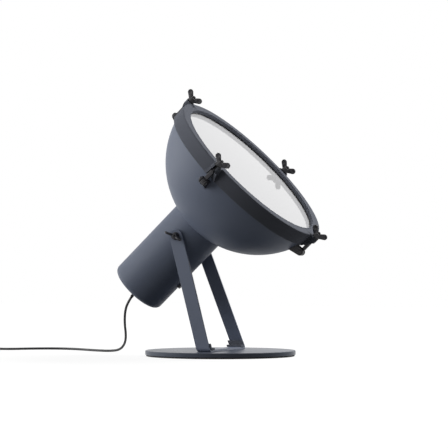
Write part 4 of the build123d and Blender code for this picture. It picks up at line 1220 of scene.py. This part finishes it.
pivot_rod = rod_shell(BOSS_INNER - THREAD_SUNK, PIVOT_TIP, YOKE_OUTER + THREAD_SUNK)
fibre_ring = moved(washer_shell(BOSS_RADIUS, FIBRE_THICK), BOSS_FACE)
steel_ring = moved(washer_shell(), YOKE_OUTER)
add_piece("pivot_rods", at_sides(head_shell(), pivot_rod), black, "head", ["pivot_bolts"])
add_piece("fibre_rings", at_sides(fibre_ring), fibre, "head", ["friction_washers"])
add_piece("pivot_rings", at_sides(steel_ring), black, "base", ["pivot_washers"])
for side, way in SIDES.items():
    nut = moved(turned_x(wing_nut, PIVOT_NUT_TURN), YOKE_OUTER + WASHER_THICK)
    add_piece(f"pivot_nut_{side}", [aimed(to_side(nut, way))], black, f"pivot_nut_{side}",
              [f"pivot_wing_nut_{side}"])

# %% [markdown]
# ## Cord and strain relief
#
# The cord is one tube along the spline worked out at the start: rings of points square to
# its line. A curve with a bevel gives the same tube, but this one is a mesh, set in place in the
# room. The cord hangs from the head and lies on the table.
# Where it leaves the housing, a moulded relief with ribs takes the strain.

# %% Cord
CORD_AROUND = 14


def tube_shell(line, radius, around):
    """Rings round a line: the first side of each ring is the cross product of the way on
    and straight up, the second the cross product of that side and the way on."""
    way = np.gradient(line, axis=0)
    way /= np.linalg.norm(way, axis=1)[:, None]
    side = np.cross(way, (0.0, 0.0, 1.0))
    side /= np.linalg.norm(side, axis=1)[:, None]
    rise = np.cross(side, way)
    turn = full_turn(around)[None, :, None]
    points = line[:, None] + radius * (np.cos(turn) * side[:, None] + np.sin(turn) * rise[:, None])
    return points, capped_faces(len(line), around)


cord = add_piece(
    "mains_cord", [tube_shell(cord_line, CORD_DIAMETER / 2, CORD_AROUND)], cord_skin, None,
    ["cord_drop", "cord_lead", "cord_end", "cord_coil"],
)
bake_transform(cord)

# %% Strain relief
RELIEF_ROOT, RELIEF_TIP_RADIUS = 0.0045, 0.0031
RELIEF_POINTS, RELIEF_AROUND = 120, 40
RIB_PITCH, RIB_DEPTH = 0.0026, 0.0006
GROOVE_SHARP, GROOVE_FROM = 9, 0.25
PLAIN_END, PLAIN_FADE = 0.0025, 0.0008
END_OUT, END_IN = 0.0002, 0.0003
COLLAR_ROOT, RELIEF_COLLAR, COLLAR_THICK = 0.003, 0.006, 0.002
COLLAR_ROUND, COLLAR_AROUND = 0.0008, 48


def relief_profile():
    """(length, radius): a straight taper, less RIB_DEPTH in each groove between the ribs. A
    groove is a sine pressed flat by 1 / (1 + exp(-sharpness * (sine - level))), and both ends
    stay plain."""
    s = np.linspace(0.0, RELIEF_LENGTH, RELIEF_POINTS)
    taper = RELIEF_ROOT + (RELIEF_TIP_RADIUS - RELIEF_ROOT) * s / RELIEF_LENGTH
    wave = np.sin(2 * math.pi * s / RIB_PITCH)
    groove = RIB_DEPTH / (1 + np.exp(-GROOVE_SHARP * (wave - GROOVE_FROM)))
    to_end = np.minimum(s, RELIEF_LENGTH - s)
    body = np.column_stack([s, taper - groove * np.clip((to_end - PLAIN_END) / PLAIN_FADE, 0, 1)])
    tip = [(RELIEF_LENGTH + END_OUT, RELIEF_TIP_RADIUS - END_IN), (RELIEF_LENGTH + END_OUT, 0)]
    return np.concatenate([[(-END_OUT, 0)], body, tip])


def drooped(shell):
    """From along x to the relief's own line: back out of the rear wall and a little down."""
    x, y, z, faces = apart(shell)
    cos, sin = math.cos(RELIEF_DROOP), math.sin(RELIEF_DROOP)
    return np.column_stack([TUBE_REAR - x * cos + z * sin, y, -x * sin - z * cos]), faces


collar_root, collar_back = TUBE_REAR + COLLAR_ROOT, TUBE_REAR - COLLAR_THICK
ribbed = spin(relief_profile(), RELIEF_AROUND, False)
collar = turned(
    [(collar_root, 0), (collar_root, RELIEF_HOLE), (TUBE_REAR, RELIEF_HOLE),
     (TUBE_REAR, RELIEF_COLLAR), (collar_back, RELIEF_COLLAR), (collar_back, 0)],
    [0, 0, 0, 0, COLLAR_ROUND, 0], COLLAR_AROUND,
)
add_piece("cord_relief", [aimed(drooped(ribbed)), aimed(collar)], rubber, "head",
          ["strain_relief"])

# %% [markdown]
# ### Switch, tie and plug
#
# The switch is a moulded case with a rocker. Its well and its bores are already right in
# the model, so a copy is welded, its flat faces are merged, and a Bevel gives it the round
# edges of a moulding. The tie, the plug with its pins and the foot angles of the yoke are made
# the same way.

# %% Eased copies
COPY_MERGE_GAP = 1e-6
FLAT_BELOW, COPY_SHARP_FROM = 2, 30


def eased_copy(node, name, material, body, width):
    """A copy of a node with its doubles merged, its flat faces joined and its edges rounded."""
    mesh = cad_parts[node].data.copy()
    mesh.name = name
    shape = bmesh.new()
    shape.from_mesh(mesh)
    bmesh.ops.remove_doubles(shape, verts=shape.verts, dist=COPY_MERGE_GAP)
    bmesh.ops.dissolve_limit(
        shape, angle_limit=math.radians(FLAT_BELOW), verts=shape.verts, edges=shape.edges
    )
    shape.to_mesh(mesh)
    shape.free()
    mesh.shade_smooth()
    mesh.materials.clear()
    mesh.materials.append(material)
    piece = new_object(name, mesh)
    ease_edges(piece, width, COPY_SHARP_FROM)
    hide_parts(node)
    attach(piece, body)
    print(f"{name}: {len(mesh.polygons)} faces before the bevel")
    return piece


# the last number is the width of the rounded edges
# the foot angles take the ring's greyer, darker coat: painted shade
eased_copy("foot_cleats", "foot_angles", shaded_ring_paint, "base", 0.0006)
switch = eased_copy("switch_body", "cord_switch", moulded, "base", 0.0004)
rocker = eased_copy("switch_rocker", "switch_key", moulded, "rocker", 0.0003)
tie = eased_copy("coil_tie", "cord_tie", moulded, "base", 0.0002)
plug = eased_copy("plug_body", "mains_plug", moulded, "base", 0.0004)
pins = eased_copy("plug_pins", "mains_pins", plated, "base", 0.0008)

# %% [markdown]
# ### Cover screw
#
# A small screw under the housing holds the carrier of the lamp. Its head is turned, and its
# side is knurled so that fingers can hold it. A Displace modifier would need a very fine mesh,
# but a cosine of the turn, put on the radius of a turned solid, needs only four points a ridge.

# %% Cover screw
SCREW_X = -0.0818
SCREW_HEAD, SCREW_HEIGHT, SCREW_SUNK = 0.0046, 0.0055, 0.0003
SCREW_ROUND, SCREW_NECK = 0.0006, 0.0003
KNURLS, KNURL_POINTS, KNURL_DEPTH, KNURLS_FROM = 30, 4, 0.06, 0.8


def knurled_shell():
    """A turned head whose side goes in and out by a cosine of KNURLS times the turn."""
    low, high = -TUBE_RADIUS - SCREW_HEIGHT, -TUBE_RADIUS + SCREW_SUNK
    corners = [(low, 0), (low, SCREW_HEAD), (high, SCREW_HEAD), (high, 0)]
    head = turned(corners, [0, SCREW_ROUND, SCREW_NECK, 0], KNURLS * KNURL_POINTS)
    x, y, z, faces = apart(head)
    outer = np.clip((np.hypot(y, z) / SCREW_HEAD - KNURLS_FROM) / (1 - KNURLS_FROM), 0, 1)
    factor = 1 - KNURL_DEPTH * outer * (1 + np.cos(KNURLS * np.arctan2(z, y))) / 2
    return np.stack([y * factor + SCREW_X, z * factor, x], axis=-1), faces


add_piece("knurled_screw", [aimed(knurled_shell())], black, "head", ["cover_screw"])

# %% [markdown]
# ## Pieces that stay as they are
#
# Inside the head, and under the base, the model's own solids are right in shape. Making them
# again would add nothing, so they only get the finish of their real material.

# %% Finishes of the carried-over nodes
CARRIED = {
    "reflector": bright,
    "lamp_carrier": plated,
    "lampholder": ceramic,
    "bulb_cap": brass,
    "bulb_glass": clear,
    "terminal_block": cream,
    "rear_seal": rubber,
    "front_gasket": rubber,
    "relief_nut": plated,
    "inner_leads": sleeve,
    "base_screws": plated,
}
for node, material in CARRIED.items():
    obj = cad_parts[node]
    if not obj.material_slots:
        obj.data.materials.append(material)
    for finish_slot in obj.material_slots:
        finish_slot.material = material
shown = [n for n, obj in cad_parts.items() if not obj.hide_render]
print("shown model nodes:", sorted(shown))
print("without a finish here:", sorted(set(shown) - set(CARRIED)))

# %% [markdown]
# ## The cord as a cord
#
# A mains cord is a fixed length of something flexible.

# %% [markdown]
# ## Floor and light
#
# The lamp stands in a white studio. The floor is one large pale sheet. To the camera it
# glows up to white, so it takes only the soft shadow under the lamp, and far off it is as
# white as the background. For the lamp itself floor and background stay dim, so its shaded
# side stays dark, as matt paint does. A bright floor and a bright world would be simpler, but
# they would wash the paint out from below.

# %% Floor
FLOOR_HALF = 4.0
FLOOR_COLOUR = 0.16
GLOW_NEAR, GLOW_FAR = 0.90, 1.0
GLOW_RADII = (0.35, 0.9)


def seen_ray(nodes, links):
    """1 for the camera's rays and for those that a mirror or a glass sends on."""
    path = nodes.new("ShaderNodeLightPath")
    total = None
    for ray in ("Is Camera Ray", "Is Glossy Ray", "Is Transmission Ray"):
        if total is None:
            total = path.outputs[ray]
            continue
        larger = nodes.new("ShaderNodeMath")
        larger.operation = "MAXIMUM"
        links.new(total, larger.inputs[0])
        links.new(path.outputs[ray], larger.inputs[1])
        total = larger.outputs[0]
    return total


def floor_material():
    """Matt and pale; its glow grows with the distance from the lamp."""
    material = bpy.data.materials.new("studio_floor")
    material.use_nodes = True
    nodes, links = material.node_tree.nodes, material.node_tree.links
    nodes.clear()
    matt = nodes.new("ShaderNodeBsdfDiffuse")
    set_sockets(matt, Color=(*3 * [FLOOR_COLOUR], 1))
    place = nodes.new("ShaderNodeTexCoord")
    far = nodes.new("ShaderNodeVectorMath")
    far.operation = "LENGTH"
    links.new(place.outputs["Object"], far.inputs[0])
    ramp = nodes.new("ShaderNodeMapRange")
    ramp.interpolation_type = "SMOOTHSTEP"
    set_sockets(ramp, From_Min=GLOW_RADII[0], From_Max=GLOW_RADII[1], To_Min=GLOW_NEAR,
                To_Max=GLOW_FAR)
    links.new(far.outputs["Value"], ramp.inputs["Value"])
    strength = nodes.new("ShaderNodeMath")
    strength.operation = "MULTIPLY"
    links.new(ramp.outputs["Result"], strength.inputs[0])
    links.new(seen_ray(nodes, links), strength.inputs[1])
    glow = nodes.new("ShaderNodeEmission")
    links.new(strength.outputs[0], glow.inputs["Strength"])
    both = nodes.new("ShaderNodeAddShader")
    links.new(matt.outputs[0], both.inputs[0])
    links.new(glow.outputs[0], both.inputs[1])
    links.new(both.outputs[0], nodes.new("ShaderNodeOutputMaterial").inputs["Surface"])
    return material


corner_ways = [(-1, -1), (1, -1), (1, 1), (-1, 1)]
floor_mesh = bpy.data.meshes.new("floor")
floor_mesh.from_pydata([(FLOOR_HALF * a, FLOOR_HALF * b, 0) for a, b in corner_ways], [],
                       [(0, 1, 2, 3)])
floor = new_object("floor", floor_mesh)
floor.data.materials.append(floor_material())
print("floor:", 2 * FLOOR_HALF, "m wide")

# %% Background
AMBIENT, AMBIENT_COLOUR = 0.03, (0.96, 0.98, 1.0, 1)


def studio_world():
    """White where it is seen, and a dim even light otherwise."""
    world = bpy.data.worlds.new("studio")
    world.use_nodes = True
    nodes, links = world.node_tree.nodes, world.node_tree.links
    nodes.clear()
    white, dim = (nodes.new("ShaderNodeBackground") for _ in range(2))
    set_sockets(white, Strength=1.0, Color=(1, 1, 1, 1))
    set_sockets(dim, Strength=AMBIENT, Color=AMBIENT_COLOUR)
    mix = nodes.new("ShaderNodeMixShader")
    links.new(seen_ray(nodes, links), mix.inputs[0])
    links.new(dim.outputs[0], mix.inputs[1])
    links.new(white.outputs[0], mix.inputs[2])
    links.new(mix.outputs[0], nodes.new("ShaderNodeOutputWorld").inputs["Surface"])
    bpy.context.scene.world = world


studio_world()
print("ambient light:", AMBIENT)

# %% [markdown]
# ### Lamps
#
# Two large soft lamps stand low behind the head, one straight behind it and one nearer to the
# viewer, so light slides round the dish and dies away on its lower right. A weaker fill lamp
# hangs higher at the viewer's left and opens the shadows. The strongest one hangs high in
# front of the glass, on the far side, and lights the glass and the top of the base, but
# hardly the dish. A sun would be simpler, but its hard shadows hide the shape of matt paint.

# %% Soft lamps
HEAD_MIDDLE = (0.0, 0.0, 0.26)
LAMP_DISTANCE, LAMP_SIZE = 3.0, 2.0
# the way from the head to each lamp, and its level
LAMPS = {
    "key": ((-0.996, 0.0, 0.087), 0.38),
    "side": ((-0.903, -0.421, 0.087), 0.40),
    "fill": ((-0.557, -0.663, 0.5), 0.235),
    "top": ((0.5, 0.5, 0.707), 0.90),
}


def soft_lamp(name, way, level):
    """A square area lamp that looks at the head from a direction. A matt surface that faces it
    renders at level times its colour: power = level * pi * pi * distance * distance."""
    way = unit(np.array(way))
    data = bpy.data.lights.new(name, "AREA")
    data.shape = "SQUARE"
    data.size = LAMP_SIZE
    data.energy = level * math.pi**2 * LAMP_DISTANCE**2
    lamp = new_object(name, data)
    lamp.location = np.array(HEAD_MIDDLE) + LAMP_DISTANCE * way
    lamp.rotation_euler = (math.acos(way[2]), 0, math.atan2(way[1], way[0]) + math.pi / 2)
    print(f"{name}: {data.energy:.0f} W")


for name, (way, level) in LAMPS.items():
    soft_lamp(name, way, level)

# %% View
scene = bpy.context.scene
scene.view_settings.view_transform = "Standard"
print("view transform:", scene.view_settings.view_transform)
